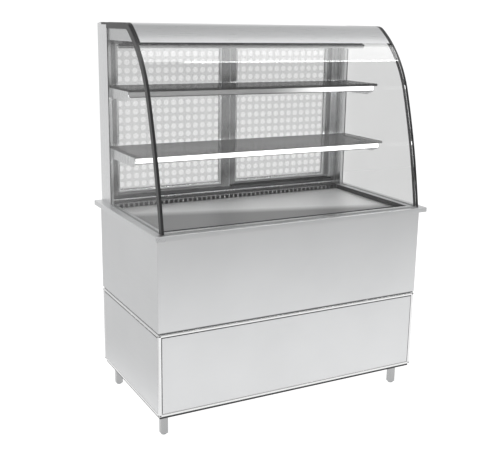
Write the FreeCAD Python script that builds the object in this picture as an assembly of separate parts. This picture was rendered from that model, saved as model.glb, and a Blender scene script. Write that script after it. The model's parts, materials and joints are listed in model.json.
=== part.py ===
import FreeCAD, Part
import math
import os

# A free-standing refrigerated display case with a curved glass front.
# Millimetres. +Z is up, the floor is z = 0, and the origin is the floor point
# under the middle of the case. The customer faces the -Y side; the staff side,
# with its sliding doors, is +Y. Each function below makes one node's solids.

Vector = FreeCAD.Vector

# Counter and cabinet body
counter_width = 1260.0
counter_depth = 720.0
counter_height = 842.0
counter_thickness = 20.0
counter_corner = 3.0
overall_height = 1600.0
side_overhang = 18.0
front_overhang = 29.0
rear_overhang = 36.0
sheet = 2.0
panel_edge = 1.5

# Lower section: frame rails, inset panels, legs
leg_height = 108.0
seam_height = 452.0
seam_gap = 7.0
seam_recess = 8.0
frame_face = 13.0
frame_depth = 26.0
frame_round = 3.0
panel_gap = 2.5
panel_setback = 1.5
chassis_tube = 25.0
leg_side = 30.0
leg_round = 6.0
leg_inset_side = 47.0
leg_inset_front = 70.0
leg_inset_rear = 52.0
leg_plug = 12.0
leg_wall = 2.0
base_ring_setback = 6.0
base_ring_width = 20.0
base_ring_height = 9.0
foot_height = 6.0
foot_tip_diameter = 22.0
foot_pad_diameter = 26.0
foot_stem_diameter = 10.0
foot_stem_length = 24.0
foot_gap = 0.3
louvre_length = 150.0
louvre_width = 7.0
louvre_pitch_x = 180.0
louvre_pitch_z = 22.0
louvre_margin = 40.0

# Refrigerated well
well_side_margin = 60.0
well_front_margin = 63.0
well_rear_margin = 92.0
liner_wall = 1.5
liner_depth = 247.0
foam_floor = 40.0
deck_clearance = 2.0
deck_rear_drop = 22.0
deck_front_drop = 24.0
deck_rear_gap = 16.0
deck_front_gap = 102.0
deck_lip = 14.0
ledge_width = 15.0
ledge_thickness = 10.0
grille_thickness = 2.0
grille_height = 34.0
grille_drop = 2.0
grille_slot = 15.0
grille_pitch = 23.0
grille_slot_height = 15.0
front_grille_drop = 24.0
front_slot_length = 80.0

# Evaporator and its fans, under the deck
coil_side_gap = 150.0
coil_depth = 120.0
coil_height = 110.0
coil_base = 8.0
coil_pitch = 20.0
coil_fin = 6.0
coil_front_gap = 147.0
fan_plate_gap = 70.0
fan_plate_height = 195.0
fan_spacing = 460.0
fan_centre_height = 100.0
cold_fan_radius = 84.0
cold_fan_hub = 24.0
cold_fan_depth = 20.0
fan_run_gap = 8.0
fan_tip_clearance = 4.0
fan_blades = 5
blade_thickness = 2.5
blade_pitch_degrees = 35.0
blade_root = 3.0
shaft_diameter = 8.0
shaft_clearance = 0.25
cold_motor_radius = 28.0
cold_motor_length = 44.0
motor_bar = 4.0
motor_bar_height = 20.0
drain_outer = 28.0
drain_bore = 22.0
drain_corner_inset = 75.0

# Machine compartment
compressor_side_gap = 252.0
compressor_y = 40.0
compressor_radius = 80.0
compressor_can_height = 190.0
compressor_dome = 40.0
compressor_plate_length = 230.0
compressor_plate_width = 170.0
compressor_plate = 4.0
mount_diameter = 28.0
mount_height = 16.0
mount_inset = 22.0
condenser_side_gap = 492.0
condenser_y = 150.0
condenser_width = 360.0
condenser_depth = 50.0
condenser_height = 280.0
condenser_base = 6.0
condenser_pitch = 15.0
condenser_fin = 5.0
shroud_thickness = 6.0
warm_fan_radius = 122.0
warm_fan_hub = 34.0
warm_fan_depth = 24.0
warm_motor_radius = 38.0
warm_motor_length = 60.0
pedestal_width = 44.0
pipe_diameter = 10.0
pipe_bend = 25.0
pipe_clearance = 0.5
pipe_start_spacing = 40.0
pipe_ceiling_gap = 50.0
drier_diameter = 36.0
drier_length = 110.0
drip_tray_length = 160.0
drip_tray_width = 140.0
drip_tray_height = 40.0
drain_end_gap = 24.0
box_length = 170.0
box_depth = 110.0
box_height = 120.0
box_side_gap = 30.0
box_rear_gap = 1.0
gland_diameter = 20.0
gland_reach = 10.0
gland_clearance = 0.4

# Control housing under the counter's rear overhang
control_width = 220.0
control_height = 70.0
control_depth = 26.0
control_side_gap = 92.0
control_top_gap = 16.0
button_diameter = 12.0
button_spacing = 26.0
button_length = 10.0
button_proud = 3.0
button_travel = 2.0
button_clearance = 0.3
button_offset = 10.0
display_width = 62.0
display_height = 28.0
display_recess = 1.0
display_offset = -62.0
rocker_width = 20.0
rocker_height = 26.0
rocker_depth = 10.0
rocker_bulge = 2.0
rocker_end_drop = 1.0
rocker_back_share = 0.6
rocker_pivot_depth = 4.0
rocker_tilt_degrees = 8.0
rocker_clearance = 0.8
rocker_room = 4.0
rocker_offset = 80.0

# Rear posts, door tracks and sliding doors
post_side_setback = 34.0
post_thickness = 18.0
post_depth = 117.0
post_rear_setback = 5.0
post_wall = 2.0
track_front_gap = 58.0
track_wall = 5.5
door_thickness = 18.0
door_spacing = 4.0
door_play = 0.5
door_lift = 0.3
sill_height = 22.0
sill_groove = 14.0
head_height = 52.0
head_groove = 25.0
door_engagement = 17.0
door_stile = 42.0
door_bottom_rail = 30.0
door_top_rail = 50.0
door_overlap = 2.0
pane_thickness = 6.0
pull_width = 18.0
pull_height = 120.0
pull_depth = 8.0
pull_centre_height = 300.0

# Glass, edge trims and canopy
glass_foot_setback = 21.0
glass_foot_lean_degrees = 9.0
lower_glass_radius = 3200.0
upper_glass_radius = 494.0
brow_angle_degrees = 57.0
brow_radius = 58.0
glass_thickness = 6.0
trim_width = 24.0
trim_cheek = 2.0
trim_web = 3.0
trim_glass_gap = 1.0
trim_over_post = 63.0
front_glass_inset = 1.0
side_play = 0.5
canopy_sheet = 3.0
fascia_drop = 71.0
fascia_glass_gap = 0.5
canopy_flange = 26.0
ceiling_front = 101.0
ceiling_thickness = 12.0
ceiling_rise = 1.0
lamp_depth = 18.0
lamp_height = 18.0
lamp_setback = 2.0

# Glass shelves, their brackets and lamps
shelf_thickness = 10.0
shelf_side_gap = 1.0
shelf_rear_gap = 7.0
display_tiers = 3
lower_shelf_depth = 300.0
middle_shelf_depth = 242.0
bracket_thickness = 4.0
bracket_post_inset = 1.0
bracket_height = 42.0
bracket_nose = 26.0
bracket_flange = 19.0
bracket_flange_thickness = 3.0
bracket_front_gap = 22.0
shelf_lamp_depth = 18.0
shelf_lamp_height = 22.0
shelf_lamp_gap = 0.5

# Places worked out from the sizes above
counter_half = counter_width / 2
counter_front = -counter_depth / 2
counter_rear = counter_depth / 2
counter_under = counter_height - counter_thickness
body_half = counter_half - side_overhang
body_front = counter_front + front_overhang
body_rear = counter_rear - rear_overhang
lower_top = seam_height - seam_gap / 2
upper_bottom = seam_height + seam_gap / 2
rail_top = leg_height + frame_face
tray_top = leg_height + sheet
leg_x = body_half - leg_inset_side
leg_front_y = body_front + leg_inset_front
leg_rear_y = body_rear - leg_inset_rear
well_half = counter_half - well_side_margin
well_front = counter_front + well_front_margin
well_rear = counter_rear - well_rear_margin
liner_floor = counter_under - liner_depth
liner_under = liner_floor - liner_wall
deck_half = well_half - deck_clearance
deck_rear = well_rear - deck_rear_gap
deck_front = well_front + deck_front_gap
deck_rear_z = counter_height - deck_rear_drop
deck_front_z = counter_height - deck_front_drop
coil_length = 2 * (well_half - coil_side_gap)
coil_front = well_front + coil_front_gap
coil_rear = coil_front + coil_depth
fan_plate_y = coil_rear + fan_plate_gap
cold_fan_z = liner_floor + fan_centre_height
shaft_radius = shaft_diameter / 2
drain_x = well_half - drain_corner_inset
drain_y = well_front + drain_corner_inset
compressor_x = compressor_side_gap - body_half
compressor_base = tray_top + mount_height
compressor_top = compressor_base + compressor_plate + compressor_can_height
condenser_x = body_half - condenser_side_gap
condenser_left = condenser_x - condenser_width / 2
condenser_right = condenser_x + condenser_width / 2
shroud_front = condenser_y - shroud_thickness
warm_fan_z = tray_top + condenser_height / 2
pipe_radius = pipe_diameter / 2
pipe_ceiling = lower_top - pipe_ceiling_gap
suction_x = compressor_x - pipe_start_spacing / 2
discharge_x = compressor_x + pipe_start_spacing / 2
liquid_x = condenser_right + drier_diameter / 2 + pipe_bend
pipe_y = condenser_y + condenser_depth / 2
coil_inlet_y = coil_rear - coil_depth / 4
coil_outlet_y = coil_front + coil_depth / 2
box_left = body_half - frame_depth - box_side_gap - box_length
box_rear = body_rear - frame_depth - box_rear_gap
gland_x = box_left + box_length / 2
gland_z = tray_top + box_height / 2
control_right = body_half - control_side_gap
control_x = control_right - control_width / 2
control_z = counter_under - control_top_gap - control_height / 2
control_face = body_rear + control_depth
post_half_span = counter_half - post_side_setback
post_inner = post_half_span - post_thickness
post_rear = counter_rear - post_rear_setback
post_front = post_rear - post_depth
canopy_under = overall_height - canopy_sheet
track_front = post_front + track_front_gap
inner_door_y = track_front + track_wall + door_play
outer_door_y = inner_door_y + door_thickness + door_spacing
track_rear = outer_door_y + door_thickness + door_play + track_wall
sill_top = counter_height + sill_height
head_bottom = canopy_under - head_height
door_bottom = sill_top - sill_groove + door_lift
door_top = head_bottom + door_engagement
door_outer = post_inner - door_play
trim_outer = post_half_span + trim_cheek
trim_inner = post_half_span - glass_thickness - trim_cheek
glass_half = trim_inner - side_play
fascia_bottom = overall_height - fascia_drop
ceiling_top = fascia_bottom + ceiling_rise
ceiling_half = post_inner - side_play
bracket_outer = post_inner + bracket_post_inset + bracket_thickness
shelf_half = post_half_span - glass_thickness - shelf_side_gap
shelf_rear = post_front - shelf_rear_gap
shelf_lamp_half = shelf_half - shelf_lamp_gap
tier_height = (overall_height - counter_height) / display_tiers


def box(x0, x1, y0, y1, z0, z1):
    """A block between two corners."""
    return Part.makeBox(x1 - x0, y1 - y0, z1 - z0, Vector(x0, y0, z0))


def rod(radius, start, end):
    """A round bar from one point to another."""
    axis = Vector(*end) - Vector(*start)
    return Part.makeCylinder(radius, axis.Length, Vector(*start), axis)


def mirrored(shape):
    """The same shape on the other side of the middle plane."""
    return shape.mirror(Vector(0, 0, 0), Vector(1, 0, 0))


def prism_across(points, x0, x1):
    """An outline of (y, z) points carried across the case from x0 to x1."""
    corners = [Vector(x0, y, z) for y, z in points]
    outline = Part.makePolygon(corners + corners[:1])
    return Part.Face(outline).extrude(Vector(x1 - x0, 0, 0))


def ring(half, front, rear, depth, z0, z1):
    """A rectangular ring of rails, depth wide, inside the given outline."""
    outside = box(-half, half, front, rear, z0, z1)
    inside = box(depth - half, half - depth, front + depth, rear - depth, z0, z1)
    return outside.cut(inside)


def upright_edges(shape, corners):
    """The upright edges of a shape that stand at the given (x, y) corners."""
    found = []
    for edge in shape.Edges:
        start, end = edge.firstVertex().Point, edge.lastVertex().Point
        upright = abs(start.x - end.x) + abs(start.y - end.y) < 1e-6
        if upright and any(abs(start.x - x) + abs(start.y - y) < 1e-6 for x, y in corners):
            found.append(edge)
    return found


def outline_corners(half, front, rear):
    return [(-half, front), (half, front), (-half, rear), (half, rear)]


# Stand and lower section

def leg_centres():
    return {
        "front_left": (-leg_x, leg_front_y),
        "front_right": (leg_x, leg_front_y),
        "rear_left": (-leg_x, leg_rear_y),
        "rear_right": (leg_x, leg_rear_y),
    }


def square_post(x, y, side, corner, z0, z1):
    """An upright square bar centred on x, y, with rounded corners."""
    half = side / 2
    bar = box(x - half, x + half, y - half, y + half, z0, z1)
    corners = [(x + i * half, y + j * half) for i in (-1, 1) for j in (-1, 1)]
    return bar.makeFillet(corner, upright_edges(bar, corners))


def legs():
    """Four square tube legs, each with a threaded plug in its lower end."""
    bottom = foot_height + foot_gap
    tubes = []
    for x, y in leg_centres().values():
        tube = square_post(x, y, leg_side, leg_round, bottom, leg_height)
        inner = leg_side - 2 * leg_wall
        hollow = square_post(x, y, inner, leg_round - leg_wall, bottom + leg_plug, leg_height)
        thread = rod(foot_stem_diameter / 2 + shaft_clearance, (x, y, bottom), (x, y, bottom + leg_plug))
        tubes.append(tube.cut(hollow).cut(thread))
    return tubes


def levelling_foot(x, y):
    """A low foot that screws into a leg: tapered pad and stem."""
    shoulder = foot_height / 2
    radius = foot_pad_diameter / 2
    tip = Part.makeCone(foot_tip_diameter / 2, radius, shoulder, Vector(x, y, 0))
    pad = rod(radius, (x, y, shoulder), (x, y, foot_height))
    stem = rod(foot_stem_diameter / 2, (x, y, foot_height), (x, y, foot_height + foot_stem_length))
    return tip.fuse(pad).fuse(stem).removeSplitter()


def base_ring():
    """Dark ring under the frame, set back from its outer faces."""
    half = body_half - base_ring_setback
    front = body_front + base_ring_setback
    rear = body_rear - base_ring_setback
    return ring(half, front, rear, base_ring_width, leg_height - base_ring_height, leg_height)


def lower_frame():
    """Welded frame of polished rails: two rings joined by corner uprights."""
    bottom = ring(body_half, body_front, body_rear, frame_depth, leg_height, rail_top)
    top = ring(body_half, body_front, body_rear, frame_depth, lower_top - frame_face, lower_top)
    frame = bottom.fuse(top)
    inner = body_half - frame_face
    for y0 in (body_front, body_rear - frame_face):
        upright = box(inner, body_half, y0, y0 + frame_face, leg_height, lower_top)
        frame = frame.fuse([upright, mirrored(upright)])
    frame = frame.removeSplitter()
    corners = outline_corners(body_half, body_front, body_rear)
    return frame.makeFillet(frame_round, upright_edges(frame, corners))


def base_tray():
    """The machine compartment's floor, welded inside the bottom ring."""
    half = body_half - frame_depth
    return box(-half, half, body_front + frame_depth, body_rear - frame_depth, leg_height, tray_top)


def lower_face_panel(y0):
    """A front or rear panel standing on the bottom rail, set back in the frame."""
    half = body_half - frame_face - panel_gap
    return box(-half, half, y0, y0 + sheet, rail_top, lower_top - frame_face - panel_gap)


def lower_front_panel():
    return lower_face_panel(body_front + panel_setback)


def lower_side_panels():
    outer = body_half - panel_setback
    y0 = body_front + frame_face + panel_gap
    y1 = body_rear - frame_face - panel_gap
    right = box(outer - sheet, outer, y0, y1, rail_top, lower_top - frame_face - panel_gap)
    return [mirrored(right), right]


def lower_rear_grille():
    """Rear service panel with rows of louvre slots and the cable gland's hole."""
    y0 = body_rear - panel_setback - sheet
    panel = lower_face_panel(y0)
    span = 2 * (body_half - frame_face - panel_gap - louvre_margin)
    rise = lower_top - frame_face - panel_gap - rail_top - 2 * louvre_margin
    columns = max(1, int((span - louvre_length) // louvre_pitch_x) + 1)
    rows = max(1, int(rise // louvre_pitch_z) + 1)
    top = lower_top - frame_face - panel_gap - louvre_margin
    keep_out = gland_z + gland_diameter
    slots = []
    for column in range(columns):
        x = (column - (columns - 1) / 2) * louvre_pitch_x
        for row in range(rows):
            z = top - row * louvre_pitch_z
            beside_gland = abs(x - gland_x) < louvre_length / 2 + gland_diameter
            if beside_gland and z - louvre_width < keep_out:
                continue
            left = x - louvre_length / 2
            slots.append(box(left, left + louvre_length, y0, y0 + sheet, z - louvre_width, z))
    gland_hole = gland_diameter / 2 + gland_clearance
    slots.append(rod(gland_hole, (gland_x, y0, gland_z), (gland_x, y0 + sheet, gland_z)))
    return panel.cut(slots)


# Upper body and counter

def upper_chassis():
    """Set-back ring on the lower frame with corner posts up to the counter."""
    half = body_half - seam_recess
    front = body_front + seam_recess
    rear = body_rear - seam_recess
    ring_top = lower_top + chassis_tube
    chassis = ring(half, front, rear, chassis_tube, lower_top, ring_top)
    for y0 in (front, rear - chassis_tube):
        post = box(half - chassis_tube, half, y0, y0 + chassis_tube, ring_top, counter_under)
        chassis = chassis.fuse([post, mirrored(post)])
    return chassis.removeSplitter()


def upper_front_panel():
    panel = box(-body_half, body_half, body_front, body_front + sheet, upper_bottom, counter_under)
    edges = upright_edges(panel, [(-body_half, body_front), (body_half, body_front)])
    return panel.makeFillet(panel_edge, edges)


def upper_side_panels():
    right = box(
        body_half - sheet, body_half, body_front + sheet, body_rear - sheet,
        upper_bottom, counter_under,
    )
    return [mirrored(right), right]


def upper_rear_panel():
    return box(-body_half, body_half, body_rear - sheet, body_rear, upper_bottom, counter_under)


def well_block(grow, z0, z1):
    """The well's outline, grown sideways by grow, as a block."""
    half = well_half + grow
    return box(-half, half, well_front - grow, well_rear + grow, z0, z1)


def counter_top():
    """Folded sheet top with turned-down outer edges and a well opening."""
    slab = box(-counter_half, counter_half, counter_front, counter_rear, counter_under, counter_height)
    corners = outline_corners(counter_half, counter_front, counter_rear)
    slab = slab.makeFillet(counter_corner, upright_edges(slab, corners))
    under_top = counter_height - sheet
    hollow = box(
        sheet - counter_half, counter_half - sheet,
        counter_front + sheet, counter_rear - sheet,
        counter_under, under_top,
    ).cut(well_block(sheet, counter_under, under_top))
    return slab.cut(hollow).cut(well_block(0, counter_under, counter_height))


def counter_board():
    """Stiffening board inside the folded top."""
    z1 = counter_height - sheet
    board = box(
        sheet - counter_half, counter_half - sheet,
        counter_front + sheet, counter_rear - sheet,
        counter_under, z1,
    )
    return board.cut(well_block(sheet, counter_under, z1))


# Refrigerated well

def deck_underside(y):
    """Height of the sloping deck's lower face at y."""
    slope = (deck_rear_z - deck_front_z) / (deck_rear - deck_front)
    return deck_front_z - sheet + (y - deck_front) * slope


def floor_holes(clearance, z0, z1):
    """Holes for the two refrigerant pipes through the well floor."""
    pipe_hole = pipe_radius + clearance
    return [
        rod(pipe_hole, (suction_x, coil_outlet_y, z0), (suction_x, coil_outlet_y, z1)),
        rod(pipe_hole, (liquid_x, coil_inlet_y, z0), (liquid_x, coil_inlet_y, z1)),
    ]


def well_liner():
    """Open tub of welded sheets hanging under the counter's opening, with ledge bars for the deck."""
    floor = well_block(liner_wall, liner_under, liner_floor)
    floor = floor.cut(floor_holes(pipe_clearance, liner_under, liner_floor))
    floor = floor.cut(rod(drain_bore / 2, (drain_x, drain_y, liner_under), (drain_x, drain_y, liner_floor)))
    outer_front = well_front - liner_wall
    outer_rear = well_rear + liner_wall
    front = box(-well_half, well_half, outer_front, well_front, liner_floor, counter_under)
    rear = box(-well_half, well_half, well_rear, outer_rear, liner_floor, counter_under)
    end = box(well_half, well_half + liner_wall, outer_front, outer_rear, liner_floor, counter_under)
    y0 = deck_front + deck_lip
    ledge_outline = [
        (y0, deck_underside(y0)),
        (deck_rear, deck_underside(deck_rear)),
        (deck_rear, deck_underside(deck_rear) - ledge_thickness),
        (y0, deck_underside(y0) - ledge_thickness),
    ]
    ledge = prism_across(ledge_outline, well_half - ledge_width, well_half)
    return [floor, front, rear, end, mirrored(end), ledge, mirrored(ledge)]


def well_insulation():
    """Foam between the tub, the body panels and the chassis posts."""
    half = body_half - sheet
    z0 = liner_under - foam_floor
    foam = box(-half, half, body_front + sheet, body_rear - sheet, z0, counter_under)
    foam = foam.cut(well_block(liner_wall, liner_under, counter_under)).cut(upper_chassis())
    foam = foam.cut(floor_holes(pipe_clearance, z0, liner_under))
    drain_hole = drain_outer / 2 + pipe_clearance
    return foam.cut(rod(drain_hole, (drain_x, drain_y, z0), (drain_x, drain_y, liner_under)))


def display_deck():
    """Removable deck plate that falls slightly towards the customer, with a front lip."""
    inner_lip = deck_front + sheet
    outline = [
        (deck_rear, deck_rear_z),
        (deck_front, deck_front_z),
        (deck_front, deck_front_z - deck_lip),
        (inner_lip, deck_front_z - deck_lip),
        (inner_lip, deck_underside(inner_lip)),
        (deck_rear, deck_underside(deck_rear)),
    ]
    return prism_across(outline, -deck_half, deck_half)


def slot_places():
    """Middles of the air slots along the width of the well."""
    count = int((2 * deck_half - grille_pitch) // grille_pitch)
    return [(index - (count - 1) / 2) * grille_pitch for index in range(count)]


def rear_air_grille():
    """Upright slotted strip behind the deck, hung from the well's rear edge."""
    z1 = counter_height - grille_drop
    z0 = z1 - grille_height
    y0 = deck_rear + grille_thickness
    face = box(-deck_half, deck_half, y0, y0 + grille_thickness, z0, z1)
    hook = box(-deck_half, deck_half, y0, well_rear, z1 - grille_thickness, z1)
    slot_top = z1 - grille_thickness - grille_drop
    slots = []
    for x in slot_places():
        left = x - grille_slot / 2
        right = x + grille_slot / 2
        slots.append(box(left, right, y0, y0 + grille_thickness, slot_top - grille_slot_height, slot_top))
    return face.fuse(hook).removeSplitter().cut(slots)


def front_air_grille():
    """Slotted strip in front of the deck, over the return air space, with a turned-down rear edge."""
    z1 = counter_height - front_grille_drop
    y1 = deck_front - deck_clearance
    strip = box(-deck_half, deck_half, well_front, y1, z1 - grille_thickness, z1)
    turned_edge = box(-deck_half, deck_half, y1 - grille_thickness, y1, deck_front_z - deck_lip, z1)
    middle = (well_front + y1) / 2
    slots = []
    for x in slot_places():
        slots.append(box(
            x - grille_slot / 2, x + grille_slot / 2,
            middle - front_slot_length / 2, middle + front_slot_length / 2,
            z1 - grille_thickness, z1,
        ))
    return strip.fuse(turned_edge).removeSplitter().cut(slots)


# Evaporator and fans

def finned_block(x0, length, y0, depth, z0, height, base, pitch, fin):
    """A base bar with a row of upright fins on it, as one comb-shaped solid."""
    block = box(x0, x0 + length, y0, y0 + depth, z0, z0 + base)
    count = int((length - fin) // pitch) + 1
    first = x0 + (length - (count - 1) * pitch) / 2
    fins = []
    for index in range(count):
        x = first + index * pitch
        fins.append(box(x - fin / 2, x + fin / 2, y0, y0 + depth, z0, z0 + height))
    return block.fuse(fins).removeSplitter()


def evaporator_coil():
    return finned_block(
        -coil_length / 2, coil_length, coil_front, coil_depth,
        liner_floor, coil_height, coil_base, coil_pitch, coil_fin,
    )


def cold_fan_centres():
    return {"left": -fan_spacing / 2, "right": fan_spacing / 2}


def evaporator_fan_plate():
    """Bulkhead across the well with a round opening for each fan."""
    plate = box(
        -deck_half, deck_half, fan_plate_y, fan_plate_y + sheet,
        liner_floor, liner_floor + fan_plate_height,
    )
    opening = cold_fan_radius + fan_tip_clearance
    holes = []
    for x in cold_fan_centres().values():
        holes.append(rod(opening, (x, fan_plate_y, cold_fan_z), (x, fan_plate_y + sheet, cold_fan_z)))
    return plate.cut(holes)


def bladed_rotor(x, rear, z, radius, hub, depth, motor_in_front):
    """A hub with pitched blades, axis along Y, bored from the side of its motor."""
    front = rear - depth
    middle = (front + rear) / 2
    rotor = rod(hub, (x, front, z), (x, rear, z))
    width = depth / 2 / math.sin(math.radians(blade_pitch_degrees))
    for index in range(fan_blades):
        blade = box(
            hub - blade_root, radius - blade_root,
            -blade_thickness / 2, blade_thickness / 2, -width / 2, width / 2,
        )
        blade.rotate(Vector(0, 0, 0), Vector(1, 0, 0), blade_pitch_degrees)
        blade.rotate(Vector(0, 0, 0), Vector(0, 1, 0), index * 360.0 / fan_blades)
        blade.translate(Vector(x, middle, z))
        rotor = rotor.fuse(blade)
    bore_mouth = front if motor_in_front else rear
    bore = rod(shaft_radius + shaft_clearance, (x, middle, z), (x, bore_mouth, z))
    return rotor.cut(bore).removeSplitter()


def evaporator_fan(x):
    rear = fan_plate_y - fan_run_gap
    return bladed_rotor(x, rear, cold_fan_z, cold_fan_radius, cold_fan_hub, cold_fan_depth, False)


def evaporator_fan_motors():
    """Two motors, each on a bar across its fan opening, with its shaft."""
    back = fan_plate_y + sheet
    reach = cold_fan_radius + fan_tip_clearance + motor_bar_height
    shaft_end = fan_plate_y - fan_run_gap - cold_fan_depth / 2 + shaft_clearance
    motors = []
    for x in cold_fan_centres().values():
        z0 = cold_fan_z - motor_bar_height / 2
        bar = box(x - reach, x + reach, back, back + motor_bar, z0, z0 + motor_bar_height)
        can_start = back + motor_bar
        can_end = can_start + cold_motor_length
        can = rod(cold_motor_radius, (x, can_start, cold_fan_z), (x, can_end, cold_fan_z))
        shaft = rod(shaft_radius, (x, shaft_end, cold_fan_z), (x, back, cold_fan_z))
        motors.append(bar.fuse([can, shaft]).removeSplitter())
    return motors


def drain_pipe():
    """Condensate pipe from the tub's floor down into the drip tray."""
    z0 = tray_top + drain_end_gap
    pipe = rod(drain_outer / 2, (drain_x, drain_y, z0), (drain_x, drain_y, liner_under))
    return pipe.cut(rod(drain_bore / 2, (drain_x, drain_y, z0), (drain_x, drain_y, liner_under)))


# Machine compartment

def mount_centres():
    dx = compressor_plate_length / 2 - mount_inset
    dy = compressor_plate_width / 2 - mount_inset
    return [(compressor_x + sx * dx, compressor_y + sy * dy) for sx in (-1, 1) for sy in (-1, 1)]


def compressor():
    """Hermetic can with a domed top, welded to its foot plate."""
    plate = box(
        compressor_x - compressor_plate_length / 2, compressor_x + compressor_plate_length / 2,
        compressor_y - compressor_plate_width / 2, compressor_y + compressor_plate_width / 2,
        compressor_base, compressor_base + compressor_plate,
    )
    can_bottom = compressor_base + compressor_plate
    can = rod(
        compressor_radius,
        (compressor_x, compressor_y, can_bottom), (compressor_x, compressor_y, compressor_top),
    )
    rims = [edge for edge in can.Edges if edge.BoundBox.ZMin > compressor_top - 1e-6]
    can = can.makeFillet(min(compressor_dome, compressor_radius / 2), rims)
    return plate.fuse(can).removeSplitter()


def compressor_mounts():
    radius = mount_diameter / 2
    return [rod(radius, (x, y, tray_top), (x, y, compressor_base)) for x, y in mount_centres()]


def condenser():
    return finned_block(
        condenser_left, condenser_width, condenser_y, condenser_depth,
        tray_top, condenser_height, condenser_base, condenser_pitch, condenser_fin,
    )


def condenser_shroud():
    plate = box(
        condenser_left, condenser_right, shroud_front, condenser_y, tray_top, tray_top + condenser_height,
    )
    opening = warm_fan_radius + fan_tip_clearance
    hole = rod(opening, (condenser_x, shroud_front, warm_fan_z), (condenser_x, condenser_y, warm_fan_z))
    return plate.cut(hole)


def condenser_fan():
    rear = shroud_front - fan_run_gap
    return bladed_rotor(
        condenser_x, rear, warm_fan_z, warm_fan_radius, warm_fan_hub, warm_fan_depth, True,
    )


def condenser_fan_motor():
    """Motor on a pedestal, in front of the condenser fan, shaft towards the fan."""
    fan_front = shroud_front - fan_run_gap - warm_fan_depth
    can_end = fan_front - fan_run_gap
    can_start = can_end - warm_motor_length
    can = rod(warm_motor_radius, (condenser_x, can_start, warm_fan_z), (condenser_x, can_end, warm_fan_z))
    shaft_end = fan_front + warm_fan_depth / 2 - shaft_clearance
    shaft = rod(shaft_radius, (condenser_x, can_end, warm_fan_z), (condenser_x, shaft_end, warm_fan_z))
    half = pedestal_width / 2
    pedestal = box(condenser_x - half, condenser_x + half, can_start, can_end, tray_top, warm_fan_z)
    return can.fuse([pedestal, shaft]).removeSplitter()


def rounded_path(points, radius):
    """Straight runs between points with a tangent arc at each inner corner."""
    places = [Vector(*point) for point in points]
    edges = []
    start = places[0]
    for before, corner, after in zip(places, places[1:], places[2:]):
        towards = (corner - before).normalize()
        away = (after - corner).normalize()
        trim = radius * math.tan(towards.getAngle(away) / 2)
        arc_start = corner - towards * trim
        arc_end = corner + away * trim
        bisector = (away - towards).normalize()
        to_centre = radius / math.cos(towards.getAngle(away) / 2)
        arc_middle = corner + bisector * (to_centre - radius)
        edges.append(Part.LineSegment(start, arc_start).toShape())
        edges.append(Part.Arc(arc_start, arc_middle, arc_end).toShape())
        start = arc_end
    edges.append(Part.LineSegment(start, places[-1]).toShape())
    return Part.Wire(edges)


def pipe(points):
    """A round pipe along a bent path."""
    path = rounded_path(points, pipe_bend)
    direction = Vector(*points[1]) - Vector(*points[0])
    section = Part.Wire(Part.makeCircle(pipe_radius, Vector(*points[0]), direction))
    return path.makePipeShell([section], True, False)


def refrigerant_pipes():
    """Discharge, suction and liquid lines; the liquid line carries the filter drier."""
    discharge = pipe([
        (discharge_x, compressor_y, compressor_top),
        (discharge_x, compressor_y, pipe_ceiling),
        (discharge_x, pipe_y, pipe_ceiling),
        (condenser_left - 2 * pipe_bend, pipe_y, pipe_ceiling),
        (condenser_left - 2 * pipe_bend, pipe_y, tray_top + condenser_height / 2),
        (condenser_left, pipe_y, tray_top + condenser_height / 2),
    ])
    suction = pipe([
        (suction_x, compressor_y, compressor_top),
        (suction_x, compressor_y, pipe_ceiling),
        (suction_x, coil_outlet_y, pipe_ceiling),
        (suction_x, coil_outlet_y, liner_floor),
    ])
    low = tray_top + condenser_base / 2
    liquid = pipe([
        (condenser_right, pipe_y, low + pipe_diameter),
        (liquid_x, pipe_y, low + pipe_diameter),
        (liquid_x, pipe_y, pipe_ceiling),
        (liquid_x, coil_inlet_y, pipe_ceiling),
        (liquid_x, coil_inlet_y, liner_floor),
    ])
    drier_bottom = (low + pipe_ceiling - drier_length) / 2
    drier = rod(
        drier_diameter / 2,
        (liquid_x, pipe_y, drier_bottom), (liquid_x, pipe_y, drier_bottom + drier_length),
    )
    return [discharge, suction, liquid.fuse(drier).removeSplitter()]


def drip_tray():
    """Shallow pan that catches the defrost water under the drain."""
    x0 = drain_x - drip_tray_length / 2
    y0 = drain_y - drip_tray_width / 2
    pan = box(x0, x0 + drip_tray_length, y0, y0 + drip_tray_width, tray_top, tray_top + drip_tray_height)
    return pan.cut(box(
        x0 + sheet, x0 + drip_tray_length - sheet, y0 + sheet, y0 + drip_tray_width - sheet,
        tray_top + sheet, tray_top + drip_tray_height,
    ))


def electrical_box():
    """Terminal box with the supply gland that comes out through the rear panel."""
    case = box(
        box_left, box_left + box_length, box_rear - box_depth, box_rear,
        tray_top, tray_top + box_height,
    )
    gland_end = body_rear + gland_reach
    gland = rod(gland_diameter / 2, (gland_x, box_rear, gland_z), (gland_x, gland_end, gland_z))
    return case.fuse(gland).removeSplitter()


# Controls on the staff side

def button_places():
    return {"up": control_x + button_offset, "down": control_x + button_offset + button_spacing}


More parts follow.
